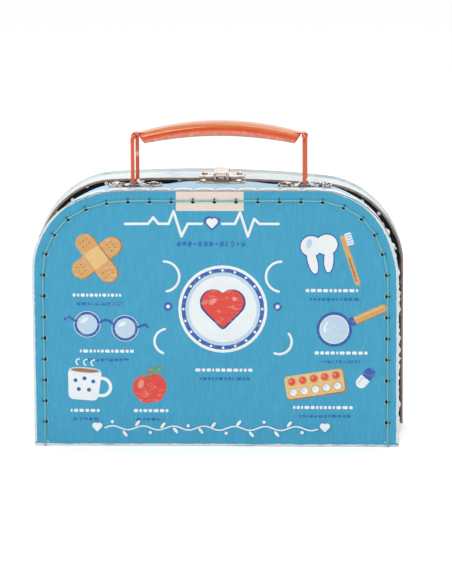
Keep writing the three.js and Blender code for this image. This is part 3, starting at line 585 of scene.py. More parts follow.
class Arch:
    """A round-cornered outline, followed from its left foot over the top to its right foot."""

    def __init__(self, half_width, top, radius, foot):
        self.half_width, self.top, self.radius, self.foot = half_width, top, radius, foot
        self.flat = half_width - radius
        self.shoulder = top - radius
        self.side = self.shoulder - foot
        self.corner = math.pi / 2 * radius
        self.length = 2 * (self.side + self.corner + self.flat)

    def grown(self, by):
        return Arch(self.half_width + by, self.top + by, self.radius + by, self.foot)

    def along(self, place):
        """How far round the outline the point nearest to a place is."""
        x, _, z = place
        if z < self.shoulder:
            near = z - self.foot
        elif abs(x) <= self.flat:
            return self.side + self.corner + self.flat + x
        else:
            near = self.side + self.radius * math.atan2(z - self.shoulder, abs(x) - self.flat)
        return near if x < 0 else self.length - near

    def outside(self, place):
        """How far a place is outside the outline."""
        x, _, z = place
        if z < self.shoulder:
            return abs(x) - self.half_width
        if abs(x) <= self.flat:
            return z - self.top
        return math.hypot(abs(x) - self.flat, z - self.shoulder) - self.radius

    def at(self, along):
        """The point (x, z) that far round, and the direction straight out of the outline there."""
        near = min(along, self.length - along)
        side = -1 if along < self.length / 2 else 1
        if near < self.side:
            return Vector((side * self.half_width, self.foot + near)), Vector((side, 0))
        near -= self.side
        if near < self.corner:
            angle = near / self.radius
            out = Vector((side * math.cos(angle), math.sin(angle)))
            return Vector((side * self.flat, self.shoulder)) + self.radius * out, out
        return Vector((side * (self.flat - near + self.corner), self.top)), Vector((0, 1))

    def carry(self, bm, step):
        """Extrudes a whole mesh, which lies at the left foot, round the outline in steps of that size."""
        side, over, corner = (
            max(1, round(length / step)) for length in (self.side, 2 * self.flat, self.corner)
        )
        trace(
            bm, whole(bm),
            ((0, 0, self.side), side), ((-self.flat, 0, self.shoulder), Y_AXIS, QUARTER, corner),
            ((2 * self.flat, 0, 0), over), ((self.flat, 0, self.shoulder), Y_AXIS, QUARTER, corner),
            ((0, 0, -self.side), side),
        )
        weld(bm)


def seam_of(panel):
    """The line of stitches in a panel's outline, and the distance from one to the next."""
    line = panel.grown(-SEAM_INSET)
    seam = Arch(line.half_width - SEAM_STEP_IN, line.top, line.radius + SEAM_ROUNDER, FIRST_STITCH)
    return seam, seam.length / (STITCHES - 1)


def make_map(bm, name, spot):
    """Gives each corner of each face its place on a named map, spot(vertex)."""
    layer = bm.loops.layers.uv.new(name)
    for face in bm.faces:
        for loop in face.loops:
            loop[layer].uv = spot(loop.vert)


def sunken_tray(place):
    """Where use has taken a place on the tray: the wall's rim is drawn in at the corners and hangs beside the
    clasp, the left corner of the panel hangs a little, its right side is pushed in, and the corners at its
    foot are worn round. Reckoned in millimetres."""
    x, y, z = place / MM
    out = clamp((place.y - wall_low.y) / (wall_high.y - wall_low.y))
    corner = soft_step(abs(x), 78, 112) * soft_step(z, 138, 165)
    loose = soft_step(-x, 20, 50) + soft_step(x, 18, 55)
    hangs = loose * (1 - corner) * soft_step(y, -7, 24) * soft_step(z, 165, 190)
    draw = 5.5 * out * out * corner + 5.2 * hangs
    hang = 1.5 * bell(x, -98, 20) * soft_step(z, 150, 190)
    foot = 1.6 * soft_step(-y, 38, 43) * soft_step(abs(x), 136, 143) * (1 - soft_step(z, 0, 3.6))
    inward = math.copysign(0.6 * draw * corner + foot, x) + 1.6 * bell(z, 160, 17) * soft_step(x, 105, 135)
    return Vector((x - inward, y, z - draw - hang * (1 - out) ** 2)) * MM


def sunken_lid(place):
    """Where use has taken a place on the lid: its top sinks to both sides, more to the right, and its free
    rim leans to the right. Reckoned in millimetres."""
    x, y, z = place / MM
    out = clamp((lid_wall_high.y - place.y) / (lid_wall_high.y - lid_wall_low.y))
    sink = (5.2 - 1.4 * out) * (x / 100) ** 2 + 0.018 * (x - 10)
    return Vector((x + 1.6 * out * out, y, z - sink * soft_step(z, 95, 175))) * MM


def finish_piece(name, bm, body, slot, materials, replaces=(), smooth=True):
    """Makes a mesh the named piece, on the body that carries it. Its board and thread have sunk with use."""
    sunken = {"base": sunken_tray, "lid": sunken_lid}.get(body) if slot != "nickel" else None
    for vert in bm.verts if sunken else ():
        vert.co = sunken(vert.co)
    mesh = bpy.data.meshes.new(name)
    bm.to_mesh(mesh)
    bm.free()
    for material in materials:
        mesh.materials.append(material)
    for polygon in mesh.polygons:
        polygon.use_smooth = smooth
    piece = bpy.data.objects.new(name, mesh)
    bpy.context.scene.collection.objects.link(piece)
    if body:
        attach(piece, body)
    if replaces:
        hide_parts(*replaces)
    return piece


def modify(piece, name, kind, **settings):
    made = piece.modifiers.new(name, kind)
    for setting, value in settings.items():
        setattr(made, setting, value)


def thicken(piece, thickness):
    """Gives a sheet its board. Its first material is outside, the second inside and the third on the rim."""
    modify(
        piece, "board", "SOLIDIFY", thickness=thickness, offset=-1, use_even_offset=True, material_offset=1,
        material_offset_rim=2,
    )


def ease_edges(piece, width):
    modify(
        piece, "eased edges", "BEVEL", width=width, segments=2, limit_method="ANGLE",
        angle_limit=math.radians(40), harden_normals=False,
    )


# Panels
class Panel:
    """A stitched panel: its outline, the Y of its printed face, the way that looks along Y, and its body."""

    def __init__(self, outline, face_y, out, body):
        self.outline, self.face_y, self.out, self.body = outline, face_y, out, body
        self.seam, self.pitch = seam_of(outline)
        self.holes = [self.seam.at(i * self.pitch)[0] for i in range(STITCHES)]

    def hole_near(self, place):
        """The middle of the hole that is nearest along the seam."""
        return self.holes[clamp(round(self.seam.along(place) / self.pitch), 0, STITCHES - 1)]

    def on_map(self, vert):
        """A vertex's place on the map of the seam: stitches along it, and millimetres outside it."""
        return self.seam.along(vert.co) / self.pitch, self.seam.outside(vert.co) / MM


def make_panel(name, panel, slot, materials, replaces):
    """A board whose edge is raw, with a punched hole for each stitch and the paper drawn in along the seam.
    The materials are the print, the raw edge, the lining and the black painted shade inside a hole."""
    outline, out = panel.outline, panel.out
    back_y = panel.face_y - out * BOARD
    edge_depth, edge_rise = (sum(size) * MM for size in zip(*EDGE_STEPS))
    steps = EDGE_STEPS + [(band, 0) for band in SEAM_BANDS]
    bm = bmesh.new()
    trace(
        bm, (-outline.half_width + TURN_IN, back_y, outline.foot),
        ((-TURN_IN, 0, 0), 2), ((0, out * (BOARD - edge_rise), 0), 2),
        *(((inward * MM, out * rise * MM, 0), 1) for inward, rise in steps),
    )
    outline.carry(bm, PANEL_STEP)
    bands = []
    for face in bm.faces:
        middle = face.calc_center_median()
        if abs(middle.y - back_y) < HAIR:
            continue
        on_print = -outline.outside(middle) > edge_depth
        face.material_index = 0 if on_print or middle.z < BARE_EDGE_FOOT else 1
        if on_print:
            bands.append(face)
    back, foot, front = [], [], []
    for edge in [edge for edge in bm.edges if edge.is_boundary]:
        first, last = (vert.co for vert in edge.verts)
        if max(first.z, last.z) < outline.foot + HAIR:
            foot.append(edge)
        else:
            (back if abs(first.y - back_y) < HAIR else front).append(edge)
    for loop in (back, front):
        verts = {vert for edge in loop for vert in edge.verts}
        ends = [vert for vert in verts if vert.co.z < outline.foot + HAIR]
        closing = bmesh.ops.contextual_create(bm, geom=ends)["edges"]
        loop += closing
        foot += closing
    for loop, material in ((back, 2), (front, 0), (foot, 1)):
        bmesh.ops.contextual_create(bm, geom=loop)["faces"][0].material_index = material
    punch_holes(bm, bands, panel)
    draw_in(bands, panel)
    make_map(bm, "seam", panel.on_map)
    piece = finish_piece(name, bm, panel.body, slot, materials, replaces)
    piece.data.set_sharp_from_angle(angle=math.radians(50))


def punch_holes(bm, bands, panel):
    """Opens a round hole in the seam's bands at each stitch and sinks its wall into the board."""
    cut = set()
    for face in bands:
        middle = face.calc_center_median()
        if (flat(middle) - panel.hole_near(middle)).length < HOLE:
            cut.add(face)
    bands[:] = [face for face in bands if face not in cut]
    bmesh.ops.delete(bm, geom=list(cut), context="FACES")
    edges = [edge for edge in bm.edges if edge.is_boundary]
    for vert in {vert for edge in edges for vert in edge.verts}:
        centre = panel.hole_near(vert.co)
        vert.co.x, vert.co.z = centre + (flat(vert.co) - centre).normalized() * HOLE
    grown = bmesh.ops.extrude_edge_only(bm, edges=edges)["geom"]
    bmesh.ops.translate(bm, verts=only(grown, bmesh.types.BMVert), vec=(0, -panel.out * HOLE_DEPTH, 0))
    rims = [edge for edge in only(grown, bmesh.types.BMEdge) if edge.is_boundary]
    floors = bmesh.ops.holes_fill(bm, edges=rims, sides=0)["faces"]
    for face in only(grown, bmesh.types.BMFace) + floors:
        # the holes' wall and floor take material 3, the black painted shade
        face.material_index = 3
    face_out(bm)


def draw_in(bands, panel):
    """The thread draws the paper in along the seam, most of all at the holes, whose inner lips stand up."""
    for vert in {vert for face in bands for vert in face.verts}:
        off = panel.seam.outside(vert.co) / MM
        far = (flat(vert.co) - panel.hole_near(vert.co)).length / MM
        groove = 0.12 * bell(off, 0.6, 1.3)
        dimple = 0.3 * bell(far, 0, 2.4)
        lip = 0.26 * bell(far, 1.6, 0.5) * max(0.0, -off / max(far, 0.1))
        vert.co.y += panel.out * (lip - groove - dimple) * MM


# Walls
def make_wall(name, outline, fold_y, rim_y, body, slot, materials, replaces, board, sag=0.0):
    """A strip of board bent round the outline, with a flange folded in at fold_y and a raw rim at rim_y."""
    away = math.copysign(1, rim_y - fold_y)
    depth = abs(rim_y - fold_y) - WALL_FOLD
    left, foot = -outline.half_width, outline.foot
    bm = bmesh.new()
    trace(
        bm, (left, rim_y, foot),
        ((0, -away * depth, 0), max(8, round(depth / (4 * MM)))),
        ((left + WALL_FOLD, fold_y + away * WALL_FOLD, foot), Z_AXIS, away * QUARTER, 6),
        ((FLANGE - WALL_FOLD, 0, 0), 4),
    )
    outline.carry(bm, WALL_STEP)
    seam, pitch = seam_of(outline.grown(OVERHANG))
    cut_notches(bm, outline, seam, pitch, fold_y)
    face_away(bm, Vector((0, (fold_y + rim_y) / 2, outline.shoulder / 2)))

    def on_map(vert):
        """Stitches along, and millimetres from the fold towards the rim, less than nothing on the flange."""
        on_flange = max(0.0, -outline.outside(vert.co) - WALL_FOLD)
        return seam.along(vert.co) / pitch, (abs(vert.co.y - fold_y) - on_flange) / MM

    make_map(bm, "seam", on_map)
    for vert in bm.verts:
        if vert.co.z >= outline.shoulder and abs(vert.co.x) <= outline.half_width:
            out = clamp((vert.co.y - fold_y) / (rim_y - fold_y))
            share = vert.co.x / outline.half_width
            vert.co.z -= sag * out * out * math.cos(math.pi / 2 * abs(share)) * (1 + 0.5 * share)
    if body == "base":
        fray_fold(bm, outline, fold_y)
    thicken(finish_piece(name, bm, body, slot, materials, replaces), board)


def fray_fold(bm, outline, fold_y):
    """Stands the torn paper along the tray's fold off the board, down its right side."""
    for vert in bm.verts:
        place = vert.co
        if place.x < 60 * MM or outline.outside(place) < -WALL_FOLD:
            continue
        away = outline.at(outline.along(place))[1]
        torn = 0.84 + noise.noise(Vector((0, place.y, place.z)) * 290)
        push = FRAY * bell(place.y - fold_y, 2.6 * MM, 2.2 * MM) * max(torn, 0.1)
        push *= soft_step(-place.z, -200 * MM, -184 * MM)
        place.x += push * away.x
        place.z += push * away.y


def cut_notches(bm, outline, seam, pitch, fold_y):
    """Cuts a V from the flange between two stitches, where it turns a corner."""
    cut = []
    for face in bm.faces:
        middle = face.calc_center_median()
        if abs(middle.y - fold_y) > 0.1 * MM or middle.z < outline.shoulder or abs(middle.x) < outline.flat:
            continue
        between = abs(seam.along(middle) / pitch % 1 - 0.5) * pitch
        inward = -outline.outside(middle) - WALL_FOLD
        if inward > 2 * MM and between < 0.14 * inward:
            cut.append(face)
    bmesh.ops.delete(bm, geom=cut, context="FACES")


def make_spine(materials):
    """The board under the tray, with the worn fold along its front edge."""
    low, high = tray_low, tray_high
    left = low.x - TRAY_SPREAD
    bm = bmesh.new()
    trace(
        bm, (left, low.y, low.z + FOLD_TOP),
        ((0, 0, SPINE_FOLD - FOLD_TOP), 2),
        ((left, low.y + SPINE_FOLD, low.z + SPINE_FOLD), X_AXIS, QUARTER, 8),
        ((0, high.y - low.y - SPINE_FOLD - HINGE_BEND, 0), 40),
    )
    walk(bm, whole(bm), (high.x - low.x + 2 * TRAY_SPREAD, 0, 0), 90)
    weld(bm)
    face_away(bm, Vector((0, 0, low.z + 50 * MM)))
    piece = finish_piece("tray_spine", bm, "base", "blue_board", materials)
    thicken(piece, BOARD)
    ease_edges(piece, 0.15 * MM)


def make_hinge_paper(material):
    """The strip of paper that joins the spine to the lid round the back of the hinge."""
    foot, back_y, inset = tray_low.z, lid_high.y, 0.6 * MM
    left = tray_low.x + inset
    under, up = HINGE_FLAPS
    bm = bmesh.new()
    trace(
        bm, (left, back_y - HINGE_BEND - under, foot),
        ((0, under, 0), 6),
        ((left, back_y + HINGE_PAPER / 2 - HINGE_BEND, foot + HINGE_BEND), X_AXIS, QUARTER, 12),
        ((0, 0, lid_low.z + up - HINGE_BEND), 6),
    )
    walk(bm, whole(bm), (tray_high.x - tray_low.x - 2 * inset, 0, 0), 60)
    weld(bm)
    face_away(bm, Vector((0, 0, 50 * MM)))
    bmesh.ops.solidify(bm, geom=bm.faces[:], thickness=HINGE_PAPER)
    face_out(bm)
    piece = finish_piece("hinge_paper", bm, None, "white_board", [material])
    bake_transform(piece)


# Threads
def aim(direction):
    """A turn that takes +Z to the direction, with its X level."""
    z = direction.normalized()
    side = Vector(Y_AXIS) if abs(z.y) < 0.9 else Vector(X_AXIS)
    x = side.cross(z).normalized()
    return Matrix((x, z.cross(x), z)).transposed().to_4x4()


def lay_thread(bm, points, radius, sides, twist):
    """Carries a two-lobed section along points, turning as it goes. Gives how far along each vertex is."""
    ring = bmesh.ops.create_circle(bm, segments=sides, radius=radius, cap_ends=True)["verts"]
    for vert in ring:
        vert.co *= 1 + 0.16 * math.cos(2 * math.atan2(vert.co.y, vert.co.x))
    edges = list({edge for vert in ring for edge in vert.link_edges})
    here = Matrix.Translation(points[0]) @ aim(points[1] - points[0])
    bmesh.ops.transform(bm, matrix=here, verts=ring)
    travelled = 0.0
    marks = dict.fromkeys(ring, travelled)
    for i in range(1, len(points)):
        ahead = points[min(i + 1, len(points) - 1)] - points[i - 1]
        travelled += (points[i] - points[i - 1]).length
        there = Matrix.Translation(points[i]) @ aim(ahead) @ Matrix.Rotation(twist * travelled, 4, "Z")
        grown = bmesh.ops.extrude_edge_only(bm, edges=edges)["geom"]
        ring = only(grown, bmesh.types.BMVert)
        fresh = set(ring)
        edges = [edge for edge in only(grown, bmesh.types.BMEdge) if fresh.issuperset(edge.verts)]
        bmesh.ops.transform(bm, matrix=there @ here.inverted(), verts=ring)
        marks.update(dict.fromkeys(ring, travelled))
        here = there
    bmesh.ops.contextual_create(bm, geom=edges)
    return marks


def finish_thread(name, bm, marks, ply, body, material, replaces=()):
    make_map(bm, "ply", lambda vert: (marks.get(vert, 0.0) / MM, marks.get(vert, 0.0) / ply))
    face_out(bm)
    finish_piece(name, bm, body, "thread", [material], replaces)


def make_seam_thread(name, panel, material, replaces, tail):
    """The thread that lies from hole to hole on a panel, pulled to the outer side of each hole."""
    out, seam = panel.out, panel.seam
    lie = panel.face_y + out * 0.45 * MM
    points = []
    for i in range((STITCHES - 1) * THREAD_STEPS + 1):
        turns = i / THREAD_STEPS
        hole = min(i // THREAD_STEPS, STITCHES - 2)
        start, start_out = seam.at(hole * panel.pitch)
        end, end_out = seam.at(min((hole + 1) * panel.pitch, seam.length))
        x, z = start.lerp(end, turns - hole)
        out_x, out_z = start_out.lerp(end_out, turns - hole)
        near = abs(turns - round(turns)) * panel.pitch / MM
        sway = 0.25 * noise.noise(Vector((turns * 1.7, 0.3, out)))
        shift = (0.5 + 0.4 * bell(near, 0, 1.6) + sway) * MM
        dip = 0.28 * bell(near, 0, 1.1) * MM
        points.append(Vector((x + shift * out_x, lie - out * dip, z + shift * out_z)))
    tails = [
        [Vector((foot.x + aside, lie, tail + (foot.y - tail) * i / THREAD_STEPS))
         for i in range(THREAD_STEPS)]
        for foot, aside in ((seam.at(0)[0], -0.7 * MM), (seam.at(seam.length)[0], 0.7 * MM))
    ]
    bm = bmesh.new()
    marks = lay_thread(bm, tails[0] + points + tails[1][::-1], THREAD, 8, 2 * math.pi / PLY)
    finish_thread(name, bm, marks, PLY, panel.body, material, replaces)


def make_lock_loops(name, panel, material):
    """At each hole the thread from inside comes up, passes over the long one and goes down beside it."""
    bm = bmesh.new()
    marks = {}
    for i in range(STITCHES):
        (x, z), (out_x, out_z) = panel.seam.at(i * panel.pitch)
        points = []
        for angle in (math.pi * k / 8 for k in range(9)):
            reach = (1.1 - 1.3 * math.cos(angle)) * MM
            lift = (1.2 * math.sin(angle) - 0.25) * MM
            points.append(Vector((x + reach * out_x, panel.face_y + panel.out * lift, z + reach * out_z)))
        marks.update(lay_thread(bm, points, LOOP_THREAD, 6, 0.0))
    finish_thread(name, bm, marks, LOOP_PLY, panel.body, material)


# Print
INKS = {
    "white": (240, 246, 248),
    "pale": (196, 220, 238),
    "sky": (120, 178, 222),
    "royal": (48, 98, 176),
    "deep": (34, 70, 140),
    "ochre": (220, 168, 104),
    "honey": (236, 196, 132),
    "umber": (170, 112, 62),
    "red": (232, 76, 64),
    "rose": (244, 150, 134),
    "leaf": (96, 158, 118),
    "caption": (22, 116, 186),
}
INK_START, INK_LIFT = 0.03 * MM, 0.012 * MM  # the first ink over the paper, and each over the one below it
DASH_SEED = 7


def round_z(degrees):
    return Matrix.Rotation(math.radians(degrees), 4, "Z")


def way_of(degrees):
    return Vector((math.cos(math.radians(degrees)), math.sin(math.radians(degrees))))


class Print:
    """Flat inks on a panel, each a little above the one before. Sizes and places are in millimetres, across
    the panel and up it."""

    def __init__(self, face_y):
        self.bm = bmesh.new()
        self.ink = self.bm.loops.layers.float_color.new("ink")
        self.face_y = face_y
        self.at(0, 0)

    def at(self, x, z, turned=0.0):
        """The place and the turn in degrees of the motif that follows."""
        self.layers = 0
        self.spot = Matrix.Translation((x, z, 0)) @ round_z(turned)

    def lay(self, verts, ink, x, z, turned):
        self.layers += 1
        lift = Matrix.Translation((0, self.face_y - INK_START - self.layers * INK_LIFT, 0))
        stand = lift @ Matrix.Rotation(math.pi / 2, 4, "X") @ Matrix.Scale(MM, 4)
        matrix = stand @ self.spot @ Matrix.Translation((x, z, 0)) @ round_z(turned)
        bmesh.ops.transform(self.bm, matrix=matrix, verts=verts)
        for face in {face for vert in verts for face in vert.link_faces}:
            for loop in face.loops:
                loop[self.ink] = linear(INKS[ink])

    def disc(self, ink, x, z, across, up=None, turned=0.0):
        verts = bmesh.ops.create_circle(self.bm, cap_ends=True, segments=36, radius=1)["verts"]
        bmesh.ops.scale(self.bm, vec=(across, up or across, 1), verts=verts)
        self.lay(verts, ink, x, z, turned)

    def rings(self, x, z, *rings):
        """Round inks of (ink, radius), one over the other."""
        for ink, radius in rings:
            self.disc(ink, x, z, radius)

    def slab(self, ink, x, z, wide, high, corner, turned=0.0, taper=0.0):
        verts = bmesh.ops.create_grid(self.bm, x_segments=1, y_segments=1, size=0.5)["verts"]
        bmesh.ops.scale(self.bm, vec=(wide, high, 1), verts=verts)
        for vert in verts:
            if vert.co.y > 0:
                vert.co.x *= 1 - taper
        rounded = bmesh.ops.bevel(
            self.bm, geom=verts, offset=min(corner, 0.499 * min(wide, high)), segments=6, profile=0.5,
            affect="VERTICES", material=-1,
        )
        faces = {face for vert in rounded["verts"] for face in vert.link_faces}
        self.lay(list({vert for face in faces for vert in face.verts}), ink, x, z, turned)

    def arc(self, ink, x, z, radius, wide, start, sweep):
        """A stroke round (x, z), with round ends. Angles are in degrees from straight right."""
        known = set(self.bm.verts)
        first = self.bm.verts.new((radius - wide / 2, 0, 0))
        walk(self.bm, [first], (wide, 0, 0), 1)
        edge = first.link_edges[0]
        steps = max(4, round(abs(sweep) / 8))
        turn(self.bm, [*edge.verts, edge], (0, 0, 0), Z_AXIS, math.radians(sweep), steps)
        made = [vert for vert in self.bm.verts if vert not in known]
        for face in {face for vert in made for face in vert.link_faces}:
            if face.normal.z < 0:
                face.normal_flip()
        self.lay(made, ink, x, z, start)
        for angle in (start, start + sweep):
            end = way_of(angle) * radius
            self.disc(ink, x + end.x, z + end.y, wide / 2)

    def stroke(self, ink, points, wide):
        """Straight strokes with round ends from point to point."""
        for (x0, z0), (x1, z1) in zip(points, points[1:]):
            long = math.hypot(x1 - x0, z1 - z0) + wide
            turned = math.degrees(math.atan2(z1 - z0, x1 - x0))
            self.slab(ink, (x0 + x1) / 2, (z0 + z1) / 2, long, wide, wide / 2, turned)

    def heart(self, ink, x, z, size):
        """A heart as wide as size."""
        lobe = size * 0.293
        self.slab(ink, x, z - 0.02 * size, 2.04 * lobe, 2.04 * lobe, 0.08 * size, 45)
        for side in (-1, 1):
            self.disc(ink, x + side * 0.207 * size, z + 0.187 * size, lobe)

    def caption(self, x, z, wide, draws):
        """Two rows of short dashes where a caption would stand."""
        self.at(x, z)
        for ink, drop, share, high in (("white", 0, 1.0, 2.5), ("caption", -7, 0.84, 2.3)):
            left = -wide * share / 2
            while left < wide * share / 2:
                long = draws.uniform(1.4, 4.2)
                self.slab(ink, left + long / 2, drop, long, high, 0.8)
                left += long + 1.1


def print_medallion(sheet):
    """A heart in a ring of dots, in the middle of the panel."""
    sheet.at(6, 111)
    sheet.rings(0, 0, ("white", 35), ("royal", 32.6), ("pale", 29.4), ("white", 26.6))
    sheet.heart("deep", 0, -1.4, 36)
    sheet.heart("red", 0, -0.6, 33)
    sheet.disc("rose", -8, 6, 3.4, 2.0, 40)
    sheet.disc("rose", 9, 8, 1.6)
    for i in range(20):
        dot = way_of(18 * i) * 31
        sheet.disc("white", dot.x, dot.y, 1.0)
    sheet.at(6, 111)
    for side in (-1, 1):
        sheet.arc("white", side * 46, 26, 12, 1.9, 90, side * 170)
        sheet.arc("white", side * 44, -26, 10, 1.9, 250, side * 150)
        sheet.rings(side * 43, 2, ("royal", 3.4), ("white", 1.5))


def print_plasters(sheet):
    sheet.at(-93, 152, 38)
    for turned in (0, 88):
        sheet.slab("umber", 0.5, -0.6, 46, 15.6, 7.6, turned)
        sheet.slab("ochre", 0, 0, 45, 15, 7.5, turned)
        sheet.slab("honey", 0, 0, 15, 13.4, 2, turned)
    for turned in (0, 88):
        for along in (-17, -13, 13, 17):
            for off in (-3, 0, 3):
                place = along * way_of(turned) + off * way_of(turned + 90)
                sheet.disc("umber", place.x, place.y, 0.55)


def print_spectacles(sheet):
    sheet.at(-86, 97, -6)
    for side in (-1, 1):
        sheet.rings(side * 15, 0, ("white", 10.6), ("royal", 10.2), ("pale", 8.0))
        sheet.disc("white", side * 15 - 2.5, 3, 3.6, 1.4, 35)
        sheet.stroke("royal", [(side * 25, 2), (side * 31, 5), (side * 33, 2)], 1.8)
    sheet.arc("royal", 0, -1, 6, 1.9, 35, 110)


def print_apple(sheet):
    sheet.at(-52, 47, 8)
    sheet.stroke("umber", [(0, 8), (2, 16)], 1.8)
    sheet.disc("leaf", 7, 14, 6, 2.6, 24)
    for side in (-1, 1):
        sheet.disc("red", side * 5.2, 1.5, 8.2, 9.6, side * 10)
        sheet.disc("red", side * 3.4, -4, 7.4, 7.6)
    sheet.disc("rose", -6.5, 4.5, 2.2, 3.6, -24)
    sheet.disc("umber", 0, 9, 2.6, 0.9)


def print_cup(sheet):
    sheet.at(-104, 50, -4)
    sheet.arc("white", 14, -1, 7, 2.6, -100, 200)
    sheet.slab("white", 0, 0, 27, 25, 4, 180, 0.14)
    sheet.disc("pale", 0, 11.6, 12.6, 2.4)
    sheet.disc("umber", 0, 11.4, 11, 1.6)
    for x, z in ((-7, 3), (0, 5), (7, 3), (-4, -4), (4, -4)):
        sheet.disc("royal", x, z, 1.6)
    for x in (-5, 1, 7):
        sheet.arc("white", x, 18, 2.4, 1.1, 90, 160)


def print_tooth(sheet):
    """A tooth with its brush."""
    sheet.at(82, 158, 6)
    for ink, trim in (("royal", 0.0), ("white", 1.0)):
        for side in (-1, 1):
            sheet.disc(ink, side * 6, 4, 9.4 - trim, 9.0 - trim)
            sheet.disc(ink, side * 6.4, -8, 4.6 - trim, 11.4 - 1.2 * trim, side * -8)
    sheet.disc("pale", -7.5, 6, 2.2, 3.8, -20)
    sheet.at(106, 150, -72)
    sheet.slab("ochre", 0, 0, 42, 4.2, 2)
    sheet.slab("umber", 8, -0.4, 20, 1.2, 0.5)
    sheet.slab("white", -16.5, 4.4, 10, 5.4, 1)
    for step in range(4):
        sheet.slab("sky", -19.6 + step * 2.1, 4.6, 0.7, 4.6, 0.3)


def print_glass(sheet):
    sheet.at(98, 97, 24)
    sheet.slab("umber", 25.5, -0.5, 30, 6.4, 3)
    sheet.slab("ochre", 25, 0, 30, 6, 3)
    sheet.slab("honey", 25, 1.2, 26, 1.2, 0.6)
    sheet.slab("royal", 10, 0, 5, 7.4, 1)
    sheet.rings(-5, 0, ("royal", 14), ("white", 11.6), ("pale", 11.0))
    sheet.arc("white", -5, 0, 7.6, 1.6, 110, 62)


def print_tablets(sheet):
    """A strip of tablets with a loose one beside it."""
    sheet.at(78, 51, 9)
    sheet.slab("umber", 0.6, -0.8, 47, 19, 3)
    sheet.slab("honey", 0, 0, 46.4, 18.4, 3)
    for i in range(5):
        for z, ink, shine in ((-4.4, "white", "pale"), (4.4, "red", "rose")):
            x = -17.6 + i * 8.8
            sheet.rings(x, z, ("ochre", 3.5), (ink, 2.8))
            sheet.disc(shine, x - 0.8, z + 0.8, 0.9)
    sheet.at(118, 56, 50)
    sheet.slab("white", 0, 0, 19, 8.6, 4.3)
    sheet.slab("royal", 4.6, 0, 9.8, 8.6, 4.3)
    sheet.slab("royal", 2, 0, 4, 8.6, 0.1)
    sheet.slab("pale", -4, 1.8, 6.5, 1.3, 0.6)


def print_pulse(sheet):
    """A heartbeat line along the top, with a row of small dots under it."""
    sheet.at(-6, 179)
    for line in (
        [(-64, 0), (-46, 0), (-42, 5), (-38, 0), (-30, 0), (-26, 10), (-20, -10), (-15, 0), (-4, 0)],
        [(12, 0), (22, 0), (26, 9), (32, -10), (37, 4), (41, 0), (56, 0)],
    ):
        sheet.stroke("white", line, 2.0)
    sheet.heart("royal", 4, 0, 12.5)
    sheet.heart("white", 4, 0.1, 9)
    sheet.at(-3, 163)
    for i in range(13):
        size = (1.0,) if i % 4 == 3 else (1.6, 2.2, -14)
        sheet.disc("caption", i * 4.2 - 25, 0, *size)


def print_garland(sheet):
    """Leaves and dots on a wavy white line along the foot of the panel."""
    sheet.at(-4, 15)
    points = [(2 * i - 84, 1.6 * math.sin(i * 0.52)) for i in range(85)]
    sheet.stroke("white", points, 1.1)
    for i in range(3, 82, 5):
        x, z = points[i]
        up = 1 if i % 2 else -1
        reach, *size = (3.2, 2.9, 1.2, up * 52) if i % 3 else (3.6, 1.3)
        sheet.disc("white", x, z + up * reach, *size)
    for x in (-90, 90):
        sheet.heart("white", x, 0.6, 8)


def print_panel(face_y, ink):
    sheet = Print(face_y)
    for motif in (
        print_medallion, print_plasters, print_spectacles, print_apple, print_cup, print_tooth, print_glass,
        print_tablets, print_pulse, print_garland,
    ):
        motif(sheet)
    draws = random.Random(DASH_SEED)
    for x, z, wide in (
        (-93, 122, 38), (-86, 77, 42), (-52, 29, 26), (-104, 29, 22), (6, 62, 44), (92, 126, 42),
        (98, 76, 40), (84, 32, 46),
    ):
        sheet.caption(x, z, wide, draws)
    finish_piece("panel_print", sheet.bm, "base", "blue_board", [ink], smooth=False)


# Metal
def make_link(side, material):
    """A wire bent to a closed loop, whose legs are bent apart a little, one to each side."""
    node, body = "handle_link_" + side, "link_" + side
    low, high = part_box(node)
    radius = LINK_SWELL * (high.x - low.x) / 2
    x = (low.x + high.x) / 2
    inset = radius + LINK_CORNER
    left, right, foot, top = low.y + inset, high.y - inset, low.z + inset, high.z - inset
    bm = bmesh.new()
    ring = bmesh.ops.create_circle(bm, segments=16, radius=radius)["verts"]
    bmesh.ops.translate(bm, verts=ring, vec=(x, left - LINK_CORNER, foot))
    trace(
        bm, whole(bm),
        ((0, 0, top - foot), 12), ((x, left, top), X_AXIS, -QUARTER, 6),
        ((0, right - left, 0), 6), ((x, right, top), X_AXIS, -QUARTER, 6),
        ((0, 0, foot - top), 12), ((x, right, foot), X_AXIS, -QUARTER, 6),
        ((0, left - right, 0), 6), ((x, left, foot), X_AXIS, -QUARTER, 6),
    )
    weld(bm)
    straight = (right - left) / 2
    for vert in bm.verts:
        off = vert.co.y - (left + right) / 2
        share = soft_step(abs(off), straight, straight + LINK_CORNER)
        vert.co.x += math.copysign(LINK_TWISTS[side] * share, off)
    face_out(bm)
    finish_piece(side + "_wire_link", bm, body, "red_paint", [material], [node])


def grip_line(bm, x, top, bottom):
    """The middle of the grip's section, from one rolled hem over the top to the other."""
    side = GRIP_WIDTH / 2 - GRIP_SHEET / 2
    hem, shoulder = GRIP_HEM, GRIP_SHOULDER
    y, hem_z, shoulder_z = HANDLE_Y, bottom + hem, top - GRIP_SHEET / 2 - shoulder
    trace(
        bm, (x, y - side + 2 * hem, hem_z), ((x, y - side + hem, hem_z), X_AXIS, -math.pi, 8),
        ((0, 0, shoulder_z - hem_z), 5), ((x, y - side + shoulder, shoulder_z), X_AXIS, -QUARTER, 7),
        ((0, 2 * (side - shoulder), 0), 4), ((x, y + side - shoulder, shoulder_z), X_AXIS, -QUARTER, 7),
        ((0, 0, hem_z - shoulder_z), 5), ((x, y + side - hem, hem_z), X_AXIS, -math.pi, 8),
    )


